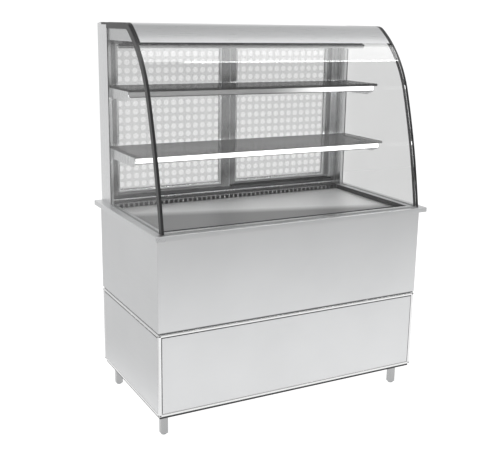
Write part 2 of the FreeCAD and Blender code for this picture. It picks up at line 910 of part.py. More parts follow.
def control_housing():
    """Shallow housing on the rear panel with pockets for the controls."""
    half = control_width / 2
    housing = box(
        control_x - half, control_x + half, body_rear, control_face,
        control_z - control_height / 2, control_z + control_height / 2,
    )
    pockets = []
    pocket_start = control_face + button_proud - button_length - button_travel - button_clearance
    for x in button_places().values():
        pockets.append(rod(
            button_diameter / 2 + button_clearance,
            (x, pocket_start, control_z), (x, control_face, control_z),
        ))
    rocker_x = control_x + rocker_offset
    half_width = rocker_width / 2 + rocker_clearance
    half_height = rocker_height / 2 + rocker_clearance
    pockets.append(box(
        rocker_x - half_width, rocker_x + half_width,
        control_face - rocker_depth - rocker_room, control_face,
        control_z - half_height, control_z + half_height,
    ))
    display_x = control_x + display_offset
    pockets.append(box(
        display_x - display_width / 2, display_x + display_width / 2,
        control_face - display_recess, control_face,
        control_z - display_height / 2, control_z + display_height / 2,
    ))
    return housing.cut(pockets)


def control_button(x):
    outer = control_face + button_proud
    return rod(button_diameter / 2, (x, outer - button_length, control_z), (x, outer, control_z))


def light_switch():
    """Rocker that tilts about a level axis across its pocket, drawn switched off."""
    pivot_y = control_face - rocker_pivot_depth
    back = pivot_y - (rocker_depth - rocker_pivot_depth)
    end = control_face - rocker_end_drop
    peak = end + rocker_bulge
    half = rocker_height / 2
    outline = [
        (back, control_z - half * rocker_back_share),
        (end, control_z - half),
        (peak, control_z),
        (end, control_z + half),
        (back, control_z + half * rocker_back_share),
    ]
    x = control_x + rocker_offset
    rocker = prism_across(outline, x - rocker_width / 2, x + rocker_width / 2)
    rocker.rotate(Vector(x, pivot_y, control_z), Vector(1, 0, 0), -rocker_tilt_degrees)
    return rocker


# Rear posts, tracks and doors

def rear_posts():
    """Hollow side posts, open at the foot where they stand on the counter."""
    post = box(post_inner, post_half_span, post_front, post_rear, counter_height, canopy_under)
    hollow = box(
        post_inner + post_wall, post_half_span - post_wall,
        post_front + post_wall, post_rear - post_wall,
        counter_height, canopy_under - post_wall,
    )
    right = post.cut(hollow)
    return [mirrored(right), right]


def track_grooves(z0, z1):
    """The two lanes that the doors run in."""
    lanes = []
    for y in (inner_door_y, outer_door_y):
        lanes.append(box(
            -post_inner, post_inner, y - door_play, y + door_thickness + door_play, z0, z1,
        ))
    return lanes


def sill_track():
    sill = box(-post_inner, post_inner, track_front, track_rear, counter_height, sill_top)
    return sill.cut(track_grooves(sill_top - sill_groove, sill_top))


def head_rail():
    head = box(-post_inner, post_inner, track_front, track_rear, head_bottom, canopy_under)
    return head.cut(track_grooves(head_bottom, head_bottom + head_groove))


def door_opening(x0, x1, y0, y1):
    return box(
        x0 + door_stile, x1 - door_stile, y0, y1,
        door_bottom + door_bottom_rail, door_top - door_top_rail,
    )


def door_frame(x0, x1, y0, pull_x):
    """Door frame with its pane opening and a finger pull in the rear face."""
    y1 = y0 + door_thickness
    frame = box(x0, x1, y0, y1, door_bottom, door_top).cut(door_opening(x0, x1, y0, y1))
    pull_z = counter_height + pull_centre_height
    pull = box(
        pull_x - pull_width / 2, pull_x + pull_width / 2, y1 - pull_depth, y1,
        pull_z - pull_height / 2, pull_z + pull_height / 2,
    )
    return frame.cut(pull)


def door_pane(x0, x1, y0):
    inset = (door_thickness - pane_thickness) / 2
    return door_opening(x0, x1, y0 + inset, y0 + inset + pane_thickness)


left_door_span = (-door_outer, door_overlap / 2)
right_door_span = (-door_overlap / 2, door_outer)
pull_place = door_outer - door_stile / 2


# Curved glass, trims and canopy

def curve_arcs(inset):
    """The case's side curve, moved inwards by inset, as three tangent arcs.

    Each arc is (centre y, centre z, radius, first angle, last angle); an angle
    is the lean of the curve from upright, so a point on it lies at
    (centre y - radius * cos, centre z + radius * sin).
    """
    lean = math.radians(glass_foot_lean_degrees)
    brow = math.radians(brow_angle_degrees)
    rise = overall_height - counter_height
    turn_sine = (
        rise + lower_glass_radius * math.sin(lean) - upper_glass_radius * math.sin(brow)
        - brow_radius * (1 - math.sin(brow))
    ) / (lower_glass_radius - upper_glass_radius)
    turn = math.asin(turn_sine)
    y0 = counter_front + glass_foot_setback + lower_glass_radius * math.cos(lean)
    z0 = counter_height - lower_glass_radius * math.sin(lean)
    y1 = y0 - (lower_glass_radius - upper_glass_radius) * math.cos(turn)
    z1 = z0 + (lower_glass_radius - upper_glass_radius) * math.sin(turn)
    y2 = y1 - (upper_glass_radius - brow_radius) * math.cos(brow)
    z2 = z1 + (upper_glass_radius - brow_radius) * math.sin(brow)
    foot = math.asin((counter_height - z0) / (lower_glass_radius - inset))
    return [
        (y0, z0, lower_glass_radius - inset, foot, turn),
        (y1, z1, upper_glass_radius - inset, turn, brow),
        (y2, z2, brow_radius - inset, brow, math.pi / 2),
    ]


def curve_edges(inset, x, rear):
    """Edges of the side curve at x, from the counter up and back to rear."""
    edges = []
    for y, z, radius, first, last in curve_arcs(inset):
        points = []
        for angle in (first, (first + last) / 2, last):
            points.append(Vector(x, y - radius * math.cos(angle), z + radius * math.sin(angle)))
        edges.append(Part.Arc(*points).toShape())
    top = edges[-1].Vertexes[-1].Point
    edges.append(Part.LineSegment(top, Vector(x, rear, top.z)).toShape())
    return edges


def curve_sheet(outer_inset, inner_inset, x0, x1, rear):
    """A sheet between two insets of the side curve, carried across from x0 to x1."""
    outer = curve_edges(outer_inset, x0, rear)
    inner = curve_edges(inner_inset, x0, rear)
    foot = Part.LineSegment(outer[0].Vertexes[0].Point, inner[0].Vertexes[0].Point).toShape()
    back = Part.LineSegment(outer[-1].Vertexes[-1].Point, inner[-1].Vertexes[-1].Point).toShape()
    outline = Part.Wire(Part.__sortEdges__(outer + inner + [foot, back]))
    return Part.Face(outline).extrude(Vector(x1 - x0, 0, 0))


def curve_plate(inset, x0, x1, rear):
    """A flat plate that fills the side curve down to the counter and back to rear."""
    edges = curve_edges(inset, x0, rear)
    start = edges[0].Vertexes[0].Point
    end = edges[-1].Vertexes[-1].Point
    corner = Vector(x0, rear, counter_height)
    edges.append(Part.LineSegment(end, corner).toShape())
    edges.append(Part.LineSegment(corner, start).toShape())
    outline = Part.Wire(Part.__sortEdges__(edges))
    return Part.Face(outline).extrude(Vector(x1 - x0, 0, 0))


def side_glass():
    x1 = post_half_span
    return curve_plate(trim_web + trim_glass_gap, x1 - glass_thickness, x1, post_front)


def edge_trim():
    """Channel that caps the side glass along the curve and the top."""
    trim = curve_sheet(0, trim_width, trim_inner, trim_outer, post_front)
    slot = curve_plate(trim_web, post_half_span - glass_thickness, post_half_span, post_front)
    tail = box(
        trim_inner, trim_outer, post_front, post_front + trim_over_post,
        overall_height - trim_web, overall_height,
    )
    return trim.cut(slot).fuse(tail).removeSplitter()


def front_glass():
    inner = front_glass_inset + glass_thickness
    pane = curve_sheet(front_glass_inset, inner, -glass_half, glass_half, post_front)
    top = fascia_bottom - fascia_glass_gap
    return pane.common(box(
        -glass_half, glass_half, counter_front, counter_rear, counter_height, top,
    ))


def canopy():
    """Folded top with its curved fascia, end plates and flanges for the ceiling."""
    above = box(
        -glass_half, glass_half, counter_front, counter_rear, fascia_bottom, overall_height,
    )
    shell = curve_sheet(0, canopy_sheet, -glass_half, glass_half, post_rear).common(above)
    plate = curve_plate(canopy_sheet, glass_half - sheet, glass_half, post_front)
    plate = plate.common(box(
        0, glass_half, counter_front, post_front, ceiling_top, canopy_under,
    ))
    flange = box(
        glass_half - canopy_flange, glass_half, ceiling_front, post_front,
        ceiling_top, ceiling_top + sheet,
    )
    ends = [plate, flange, mirrored(plate), mirrored(flange)]
    return shell.fuse(ends).removeSplitter()


def ceiling_panel():
    return box(
        -ceiling_half, ceiling_half, ceiling_front, track_front,
        ceiling_top - ceiling_thickness, ceiling_top,
    )


def ceiling_lamp():
    z1 = ceiling_top - ceiling_thickness
    y0 = ceiling_front + lamp_setback
    return box(-shelf_lamp_half, shelf_lamp_half, y0, y0 + lamp_depth, z1 - lamp_height, z1)


# Shelves

def shelf_places():
    """Top height and front edge of each glass shelf."""
    return {
        "lower": (counter_height + tier_height, shelf_rear - lower_shelf_depth),
        "middle": (counter_height + 2 * tier_height, shelf_rear - middle_shelf_depth),
    }


def shelf(name):
    top, front = shelf_places()[name]
    return box(-shelf_half, shelf_half, front, shelf_rear, top - shelf_thickness, top)


def shelf_brackets(name):
    """A pair of flanged brackets from the rear posts, under one shelf."""
    top, front = shelf_places()[name]
    z1 = top - shelf_thickness
    y0 = front + bracket_front_gap
    outline = [
        (post_front, z1),
        (y0, z1),
        (y0, z1 - bracket_nose),
        (y0 + bracket_height, z1 - bracket_height),
        (post_front, z1 - bracket_height),
    ]
    plate = prism_across(outline, bracket_outer - bracket_thickness, bracket_outer)
    flange = box(
        bracket_outer - bracket_flange, bracket_outer, y0, shelf_rear, z1 - bracket_flange_thickness, z1,
    )
    right = plate.fuse(flange).removeSplitter()
    return [mirrored(right), right]


def shelf_lamp(name):
    top, front = shelf_places()[name]
    z1 = top - shelf_thickness
    y0 = front + shelf_lamp_gap
    return box(
        -shelf_lamp_half, shelf_lamp_half, y0, y0 + shelf_lamp_depth, z1 - shelf_lamp_height, z1,
    )


def pieces():
    """Every node of the case, by name."""
    nodes = {
        "legs": legs(),
        "base_ring": base_ring(),
        "lower_frame": lower_frame(),
        "base_tray": base_tray(),
        "lower_front_panel": lower_front_panel(),
        "lower_side_panels": lower_side_panels(),
        "lower_rear_grille": lower_rear_grille(),
        "upper_chassis": upper_chassis(),
        "upper_front_panel": upper_front_panel(),
        "upper_side_panels": upper_side_panels(),
        "upper_rear_panel": upper_rear_panel(),
        "counter_top": counter_top(),
        "counter_board": counter_board(),
        "well_liner": well_liner(),
        "well_insulation": well_insulation(),
        "display_deck": display_deck(),
        "rear_air_grille": rear_air_grille(),
        "front_air_grille": front_air_grille(),
        "evaporator_coil": evaporator_coil(),
        "evaporator_fan_plate": evaporator_fan_plate(),
        "evaporator_fan_motors": evaporator_fan_motors(),
        "drain_pipe": drain_pipe(),
        "compressor": compressor(),
        "compressor_mounts": compressor_mounts(),
        "condenser": condenser(),
        "condenser_shroud": condenser_shroud(),
        "condenser_fan": condenser_fan(),
        "condenser_fan_motor": condenser_fan_motor(),
        "refrigerant_pipes": refrigerant_pipes(),
        "drip_tray": drip_tray(),
        "electrical_box": electrical_box(),
        "control_housing": control_housing(),
        "light_switch": light_switch(),
        "rear_posts": rear_posts(),
        "sill_track": sill_track(),
        "head_rail": head_rail(),
        "door_left_frame": door_frame(*left_door_span, inner_door_y, -pull_place),
        "door_left_pane": door_pane(*left_door_span, inner_door_y),
        "door_right_frame": door_frame(*right_door_span, outer_door_y, pull_place),
        "door_right_pane": door_pane(*right_door_span, outer_door_y),
        "side_glass_left": mirrored(side_glass()),
        "side_glass_right": side_glass(),
        "edge_trim_left": mirrored(edge_trim()),
        "edge_trim_right": edge_trim(),
        "front_glass": front_glass(),
        "canopy": canopy(),
        "ceiling_panel": ceiling_panel(),
        "ceiling_lamp": ceiling_lamp(),
    }
    for name, (x, y) in leg_centres().items():
        nodes["foot_" + name] = levelling_foot(x, y)
    for name, x in cold_fan_centres().items():
        nodes["evaporator_fan_" + name] = evaporator_fan(x)
    for name, x in button_places().items():
        nodes["button_" + name] = control_button(x)
    nodes["shelf_brackets"] = shelf_brackets("lower") + shelf_brackets("middle")
    nodes["shelf_lamps"] = [shelf_lamp("lower"), shelf_lamp("middle")]
    for name in shelf_places():
        nodes["shelf_" + name] = shelf(name)
    return nodes


os.makedirs("parts", exist_ok=True)
for name, solids in pieces().items():
    shape = Part.makeCompound(solids) if isinstance(solids, list) else solids
    shape.exportStep("parts/" + name + ".step")
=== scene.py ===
"""Looks of a free-standing refrigerated display case with a curved glass front.

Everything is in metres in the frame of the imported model: +Z up, the customer on
the -Y side, the staff doors on the +Y side, the floor at z = 0.
"""

import json
import math

import bmesh
import bpy
import numpy as np
from mathutils import Matrix, Vector


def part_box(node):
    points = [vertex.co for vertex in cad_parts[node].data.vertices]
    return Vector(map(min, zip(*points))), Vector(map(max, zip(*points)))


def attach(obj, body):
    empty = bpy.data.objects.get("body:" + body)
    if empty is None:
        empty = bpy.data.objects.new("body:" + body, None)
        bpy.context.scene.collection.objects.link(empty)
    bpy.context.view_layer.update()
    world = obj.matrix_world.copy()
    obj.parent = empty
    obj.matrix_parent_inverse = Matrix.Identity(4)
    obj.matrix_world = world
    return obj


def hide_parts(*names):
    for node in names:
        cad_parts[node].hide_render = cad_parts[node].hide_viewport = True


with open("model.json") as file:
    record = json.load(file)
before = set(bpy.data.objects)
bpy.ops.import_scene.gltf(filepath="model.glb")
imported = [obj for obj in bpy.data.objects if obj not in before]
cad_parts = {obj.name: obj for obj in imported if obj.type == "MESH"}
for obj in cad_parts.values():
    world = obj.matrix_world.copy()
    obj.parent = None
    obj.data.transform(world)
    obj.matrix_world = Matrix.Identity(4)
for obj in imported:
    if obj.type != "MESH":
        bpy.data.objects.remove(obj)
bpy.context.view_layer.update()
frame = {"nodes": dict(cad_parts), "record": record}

bl_info = {
    "name": "Refrigerated display case",
    "version": (1, 0, 0),
    "blender": (4, 5, 0),
    "location": "View3D > Sidebar > Display case",
    "description": "Finishes, fittings and studio for a refrigerated display case",
    "category": "Object",
}

CASE = "case"
SHARP_ANGLE = math.radians(35)
MERGE_REACH = 1e-7
LEAST_CORNER = 0.0002
RIGHTWARD, REARWARD, UPWARD = (1, 0, 0), (0, 1, 0), (0, 0, 1)
LEFTWARD, FRONTWARD = (-1, 0, 0), (0, -1, 0)

# Sections as shares of a fitting's own width and height

RIM_SECTION = ((0.0, 0.0), (0.1, 0.7), (0.3, 1.0), (0.8, 1.0), (0.88, 0.0))
BEZEL_SECTION = ((0.0, 0.0), (0.15, 2 / 3), (0.4, 1.0), (0.9, 1.0), (1.0, 0.0))
SCREW_RECESS = ((0.38, 1.0), (0.3, 0.45), (0.0, 0.4))
LIP_SETBACK = 0.3
CUT_START, CUT_TOP, CUT_EDGE = 0.45, 0.55, 0.05
SEAM_SHARE, LEDGE_SHARE = 0.4, 0.8
# Rise of the pale strip that paints the highlight on the doors' meeting edge, a share of a moulding's rise
MEETING_HIGHLIGHT_RISE = 1.3

# Small sizes of the screws and the control window, in metres, and the dome's angle in radians

SCREW_SINK = 0.0002
SCREW_DOME = 1.1
WINDOW_CORNER, BEZEL_CORNER = 0.002, 0.004
WINDOW_SECTION = ((0.0004, -0.0009), (0.0004, -0.0004), (0.0012, -0.0001))

# Spans over which the stage's light changes: metres on the floor, parts of a unit direction around it

LEFT_SLANT, RIGHT_SLANT = (1.0, -0.2, 0.0), (1.0, -0.68, 0.0)
FLOOR_FRONT, FLOOR_REAR, FLOOR_PAST = (-3.6, -1.6), (-0.6, 0.3), (0.6, 1.6)
FLOOR_LEFT, FLOOR_FAR_LEFT, FLOOR_ASIDE = (-0.95, -0.7), (-3.3, -2.8), (0.15, 0.65)
AROUND_LEFT, AROUND_BEHIND = (-0.3, -0.1), (0.0, 0.4)
AROUND_ASIDE, AROUND_OVER = (-0.03, 0.03), (0.6, 0.85)
LIGHT_BY_HEIGHT = ((-0.02, "low_light"), (0.02, "wall_light"), (0.19, "wall_light"),
                   (0.25, "high_light"), (0.68, "high_light"), (0.84, "zenith_light"))

# Lights of the stage in metres, the surroundings' own light where seen directly, the sensor in millimetres

TOP_BOX = {"place": (1.2, -0.63, 3.5), "width": 4.4, "depth": 0.74}
EDGE_TUBE = {"place": (1.97, -1.03, 3.5), "width": 2.85, "depth": 0.06}
AROUND_SEEN = 1.05
SENSOR_WIDTH = 36.0

# Values of the finishes: depths and spans in metres, the rest plain numbers

GRAIN_DEPTH, SPECK_DEPTH = 0.0001, 0.0002
NOISE_LOW, NOISE_HIGH = 0.25, 0.75
SPECKS_PER_MARK = 90.0
DOT_BLUR = 0.0006
# Direction and span over which the deck's colour runs from painted light at the rear to painted shade at the
# front left
DECK_SHADE_SLANT, DECK_SHADE_SPAN = (0.25, 1.0, 0.0), (-0.15, 0.1)
GLOW_SPAN = (0.0, 0.55)
OPAL_DARK, OPAL_LIGHT = (0.44, 0.44, 0.44), (0.5, 0.5, 0.5)

# Brushed metals: shade in the settings, lines per metre on X, Y and Z, least and most roughness, bump

BRUSHED = {
    "leg tube": ("leg", (300, 300, 6), (0.14, 0.24), 0.06),
    "zinc sheet": ("zinc", (40, 40, 40), (0.4, 0.55), 0.06),
    "bare fins": ("fin", (60, 60, 400), (0.3, 0.45), 0.06),
    "dark anodised": ("door", (700, 700, 8), (0.16, 0.24), 0.1),
    "deep anodised": ("sill", (8, 700, 700), (0.2, 0.3), 0.06),
    "pale anodised": ("pale", (700, 700, 8), (0.22, 0.32), 0.04),
}

# Painted, moulded and raw surfaces: darker and lighter colour, least and most roughness, other values

PAINTS = {
    "satin black": ((0.012, 0.012, 0.013), (0.022, 0.022, 0.023), 0.28, 0.42, {"bump": 0.15}),
    "dull black": ((0.008, 0.008, 0.008), (0.014, 0.014, 0.014), 0.6, 0.75, {"bump": 0.2, "specular": 0.12}),
    "raw board": ((0.5, 0.4, 0.27), (0.62, 0.52, 0.38), 0.7, 0.85, {"size": 30.0, "bump": 0.4}),
    "rigid foam": ((0.78, 0.70, 0.45), (0.88, 0.82, 0.6), 0.8, 0.9, {"size": 40.0, "bump": 0.5}),
    "bare copper": ((0.62, 0.33, 0.2), (0.78, 0.45, 0.3), 0.25, 0.4, {"metallic": 1.0, "size": 20.0}),
    "motor paint": ((0.24, 0.25, 0.26), (0.32, 0.33, 0.34), 0.4, 0.55, {"bump": 0.2}),
    "fan plastic": ((0.05, 0.05, 0.055), (0.08, 0.08, 0.085), 0.4, 0.55, {"bump": 0.2}),
    "grey plastic": ((0.26, 0.27, 0.28), (0.34, 0.35, 0.36), 0.4, 0.55, {"bump": 0.25}),
    "mount rubber": ((0.02, 0.02, 0.02), (0.04, 0.04, 0.04), 0.7, 0.85, {"bump": 0.4}),
    "control housing": ((0.05, 0.05, 0.054), (0.075, 0.075, 0.08), 0.45, 0.6, {"bump": 0.4}),
    "control keys": ((0.68, 0.68, 0.67), (0.76, 0.76, 0.75), 0.2, 0.32, {"size": 30.0, "bump": 0.1}),
    "display window": ((0.006, 0.007, 0.008), (0.012, 0.013, 0.014), 0.05, 0.12, {"size": 20.0}),
    "grey sealant": ((0.42, 0.425, 0.43), (0.5, 0.505, 0.51), 0.3, 0.45, {"size": 30.0, "bump": 0.15}),
}

# Shelf glass, a lit and a shaded copy of one smoked glass whose tones paint the light and shade on each
# shelf: darker and lighter tone, least share of light that it holds back

SHELF_GLASS = {
    "lower shelf glass, lit copy": (0.14, 0.16, 0.52),
    "middle shelf glass, shaded copy": (0.03, 0.04, 0.8),
}
SHELF_COVER_SPREAD = 0.06

# The modelled sub-parts that have each finish

WORN_BY = {
    "satin panel": ("upper_front_panel", "upper_side_panels", "upper_rear_panel",
                    "lower_front_panel", "lower_side_panels", "lower_rear_grille"),
    "satin top": ("counter_top", "canopy"),
    "satin deck, painted light and shade": ("display_deck",),
    "polished tube": ("lower_frame",),
    "leg tube": ("legs",),
    "zinc sheet": ("base_tray", "upper_chassis", "evaporator_fan_plate", "drip_tray",
                   "condenser_shroud", "well_liner"),
    "raw board": ("counter_board",),
    "rigid foam": ("well_insulation",),
    "front pane": ("front_glass",),
    "side pane": ("side_glass_left", "side_glass_right"),
    "lower shelf glass, lit copy": ("shelf_lower",),
    "middle shelf glass, shaded copy": ("shelf_middle",),
    "left dotted pane": ("door_left_pane",),
    "right dotted pane": ("door_right_pane",),
    "satin black": ("edge_trim_left", "edge_trim_right", "compressor", "base_ring"),
    "dull black": ("front_air_grille",),
    "dark anodised": ("door_left_frame", "door_right_frame", "head_rail", "rear_air_grille"),
    "deep anodised": ("sill_track", "ceiling_panel"),
    "pale anodised": ("rear_posts", "shelf_brackets"),
    "bare fins": ("evaporator_coil", "condenser"),
    "bare copper": ("refrigerant_pipes",),
    "motor paint": ("evaporator_fan_motors", "condenser_fan_motor", "electrical_box"),
    "fan plastic": ("evaporator_fan_left", "evaporator_fan_right", "condenser_fan"),
    "grey plastic": ("drain_pipe", "foot_front_left", "foot_front_right",
                     "foot_rear_left", "foot_rear_right"),
    "mount rubber": ("compressor_mounts",),
    "control housing": ("control_housing",),
    "control keys": ("light_switch", "button_up", "button_down"),
}


# Kinds of setting

def metres(name, description, default):
    """A size or a place."""
    return bpy.props.FloatProperty(name=name, description=description, default=default, unit="LENGTH")


def degrees(name, description, default):
    """An angle that is stated here in degrees."""
    return bpy.props.FloatProperty(
        name=name, description=description, default=math.radians(default), subtype="ANGLE", unit="ROTATION")


def number(name, description, default, unit="NONE"):
    """A plain number, such as a glow or a count per metre."""
    return bpy.props.FloatProperty(name=name, description=description, default=default, unit=unit)


def part(name, description, default):
    """A part of a whole."""
    return bpy.props.FloatProperty(
        name=name, description=description, default=default, subtype="FACTOR", min=0.0, max=1.0)


def rgb(name, description, default):
    """A colour."""
    return bpy.props.FloatVectorProperty(
        name=name, description=description, default=default, subtype="COLOR", min=0.0, max=1.0)


# Settings that a user would change

class StudioSettings(bpy.types.PropertyGroup):
    """Camera, floor and lights."""

    camera_place: bpy.props.FloatVectorProperty(
        name="Camera place", description="Where the camera stands",
        default=(-1.7141, -3.0947, 1.6084), subtype="XYZ", unit="LENGTH")
    camera_turn: degrees("Turn", "Turn of the view to the right of straight ahead", 28.31)
    camera_dip: degrees("Dip", "How far the view points below the horizon", 13.68)
    camera_roll: degrees("Roll", "Lean of the camera about its own view", 0.96)
    camera_lens: number("Lens", "Focal length on a sensor 36 mm wide", 59.78, "CAMERA")
    floor_size: metres("Floor size", "Side of the square floor", 9.0)
    floor_tone: part("Floor tone", "Share of light that the pale floor throws back", 0.3)
    floor_far_glow: number("Far glow", "Light that the floor gives far in front of the case", 0.15)
    floor_near_glow: number("Near glow", "Light that the floor gives just in front of the case", 1.0)
    floor_rear_glow: number("Rear glow", "Light that the floor gives behind the case", 0.92)
    floor_seen: number("Floor seen", "Own light of the floor where it is seen directly", 0.95)
    floor_left_share: part("Left share", "Share of the floor's light that is left on the left", 0.7)
    left_share: part("Far left share", "Share of the light that is left far off on the left", 0.8)
    right_share: part("Right share", "Share of the floor's light that is left on the rear right", 0.62)
    rear_right_share: part("Rear right share", "Share of the surroundings' light on the rear right", 0.8)
    low_light: number("Low light", "Light that comes from below the horizon", 0.75)
    wall_light: number("Wall light", "Light that comes from level with the case", 0.5)
    rear_light: number("Rear light", "Light that comes from behind the case", 1.0)
    high_light: number("High light", "Light that comes from over the walls", 0.62)
    zenith_light: number("Zenith light", "Light that comes from straight above", 0.52)
    top_box_power: number("Top box power", "Power of the soft box overhead", 28.0, "POWER")
    edge_tube_power: number("Edge tube power", "Power of the tube before the soft box", 6.0, "POWER")


class SteelSettings(bpy.types.PropertyGroup):
    """Cabinet metals."""

    satin_dark: rgb("Satin, dark", "Satin steel in its darker clouds", (0.62, 0.625, 0.63))
    satin_light: rgb("Satin, light", "Satin steel in its lighter clouds", (0.66, 0.665, 0.67))
    grain_across: number("Grain across", "Grain lines per metre across the brushing", 900.0)
    grain_along: number("Grain along", "Breaks per metre along the brushing", 9.0)
    # The deck's two colours are painted shade at its front left and painted light below the rear panes
    deck_painted_shade: rgb("Deck, dark", "Display deck at its front left", (0.31, 0.31, 0.31))
    deck_painted_light: rgb("Deck, light", "Display deck below the rear panes", (0.95, 0.95, 0.95))
    tube_dark: rgb("Tube, dark", "Polished tube in its darker wipe marks", (0.71, 0.712, 0.714))
    tube_light: rgb("Tube, light", "Polished tube in its lighter wipe marks", (0.78, 0.782, 0.784))
    leg_dark: rgb("Leg, dark", "Leg tube in its darker clouds", (0.34, 0.342, 0.344))
    leg_light: rgb("Leg, light", "Leg tube in its lighter clouds", (0.42, 0.422, 0.424))
    door_dark: rgb("Door, dark", "Dark anodised profile in its darker clouds", (0.32, 0.322, 0.324))
    door_light: rgb("Door, light", "Dark anodised profile in its lighter clouds", (0.38, 0.382, 0.384))
    sill_dark: rgb("Sill, dark", "Sill and ceiling panel in their darker clouds", (0.10, 0.101, 0.104))
    sill_light: rgb("Sill, light", "Sill and ceiling panel in their lighter clouds", (0.14, 0.141, 0.144))
    pale_dark: rgb("Pale, dark", "Pale anodised profile in its darker clouds", (0.7, 0.705, 0.71))
    pale_light: rgb("Pale, light", "Pale anodised profile in its lighter clouds", (0.78, 0.785, 0.79))
    zinc_dark: rgb("Zinc, dark", "Zinc coated sheet in its darker clouds", (0.42, 0.43, 0.44))
    zinc_light: rgb("Zinc, light", "Zinc coated sheet in its lighter clouds", (0.56, 0.57, 0.58))
    fin_dark: rgb("Fins, dark", "Bare fins in their darker clouds", (0.62, 0.63, 0.64))
    fin_light: rgb("Fins, light", "Bare fins in their lighter clouds", (0.74, 0.75, 0.76))
    sheet: metres("Sheet", "Thickness of the counter's sheet", 0.002)
    fold_radius: metres("Fold radius", "Outer radius of the counter's folded edges", 0.0028)
    counter_corner: metres("Counter corner", "Corner radius of the counter in plan", 0.003)
    liner_wall: metres("Liner wall", "Thickness of the well liner's wall", 0.0015)
    tube_corner: metres("Tube corner", "Edge radius of the lower frame's tube", 0.0045)
    tube_face: metres("Tube face", "Height of the lower frame's rails", 0.013)
    tube_depth: metres("Tube depth", "Depth of the lower frame's rails", 0.026)
    frame_corner: metres("Frame corner", "Corner radius of the lower frame in plan", 0.003)


class GlassSettings(bpy.types.PropertyGroup):
    """Glass, its print and the lamps."""

    dot_pitch: metres("Dot pitch", "Distance between the middles of two dots", 0.035)
    dot_radius: metres("Dot radius", "Radius of one dot", 0.0123)
    dot_top_row: metres("Top row", "Height of one row of dots", 1.471)
    left_dot_column: metres("Left column", "Place of the left door's outermost column", -0.518)
    right_dot_column: metres("Right column", "Place of the right door's innermost column", 0.050)
    dot_columns: bpy.props.IntProperty(
        name="Columns", description="Columns of dots on each door", default=14)
    pane_tint: rgb("Pane tint", "Tint of the front pane", (0.935, 0.937, 0.936))
    pane_marks: rgb("Pane marks", "Tint of the front pane in its wipe marks", (0.92, 0.922, 0.921))
    pane_bend: number("Pane bend", "Refractive index of the front pane", 1.46)
    side_tint: rgb("Side tint", "Tint of the side panes", (0.925, 0.927, 0.926))
    side_marks: rgb("Side marks", "Tint of the side panes in their wipe marks", (0.905, 0.907, 0.906))
    side_bend: number("Side bend", "Refractive index of the side panes", 1.12)
    shelf_bend: number("Shelf bend", "Refractive index of the shelves", 1.02)
    bright_lamp: number("Bright lamp", "Glow of a lit lens", 2.2)
    work_lamp: number("Work lamp", "Glow of the lamp windows that light the deck", 14.0)
    dim_lamp: number("Dim lamp", "Glow of a dim lens", 0.07)
    film_cover: part("Film cover", "Share of light that the film between the dots holds back", 0.27)
    dot_cover: part("Dot cover", "Share of light that a dot holds back", 0.17)
    film_tone: rgb("Film", "Print between the dots", (0.50, 0.505, 0.51))
    dot_tone: rgb("Dots", "Pale dots", (0.86, 0.865, 0.87))


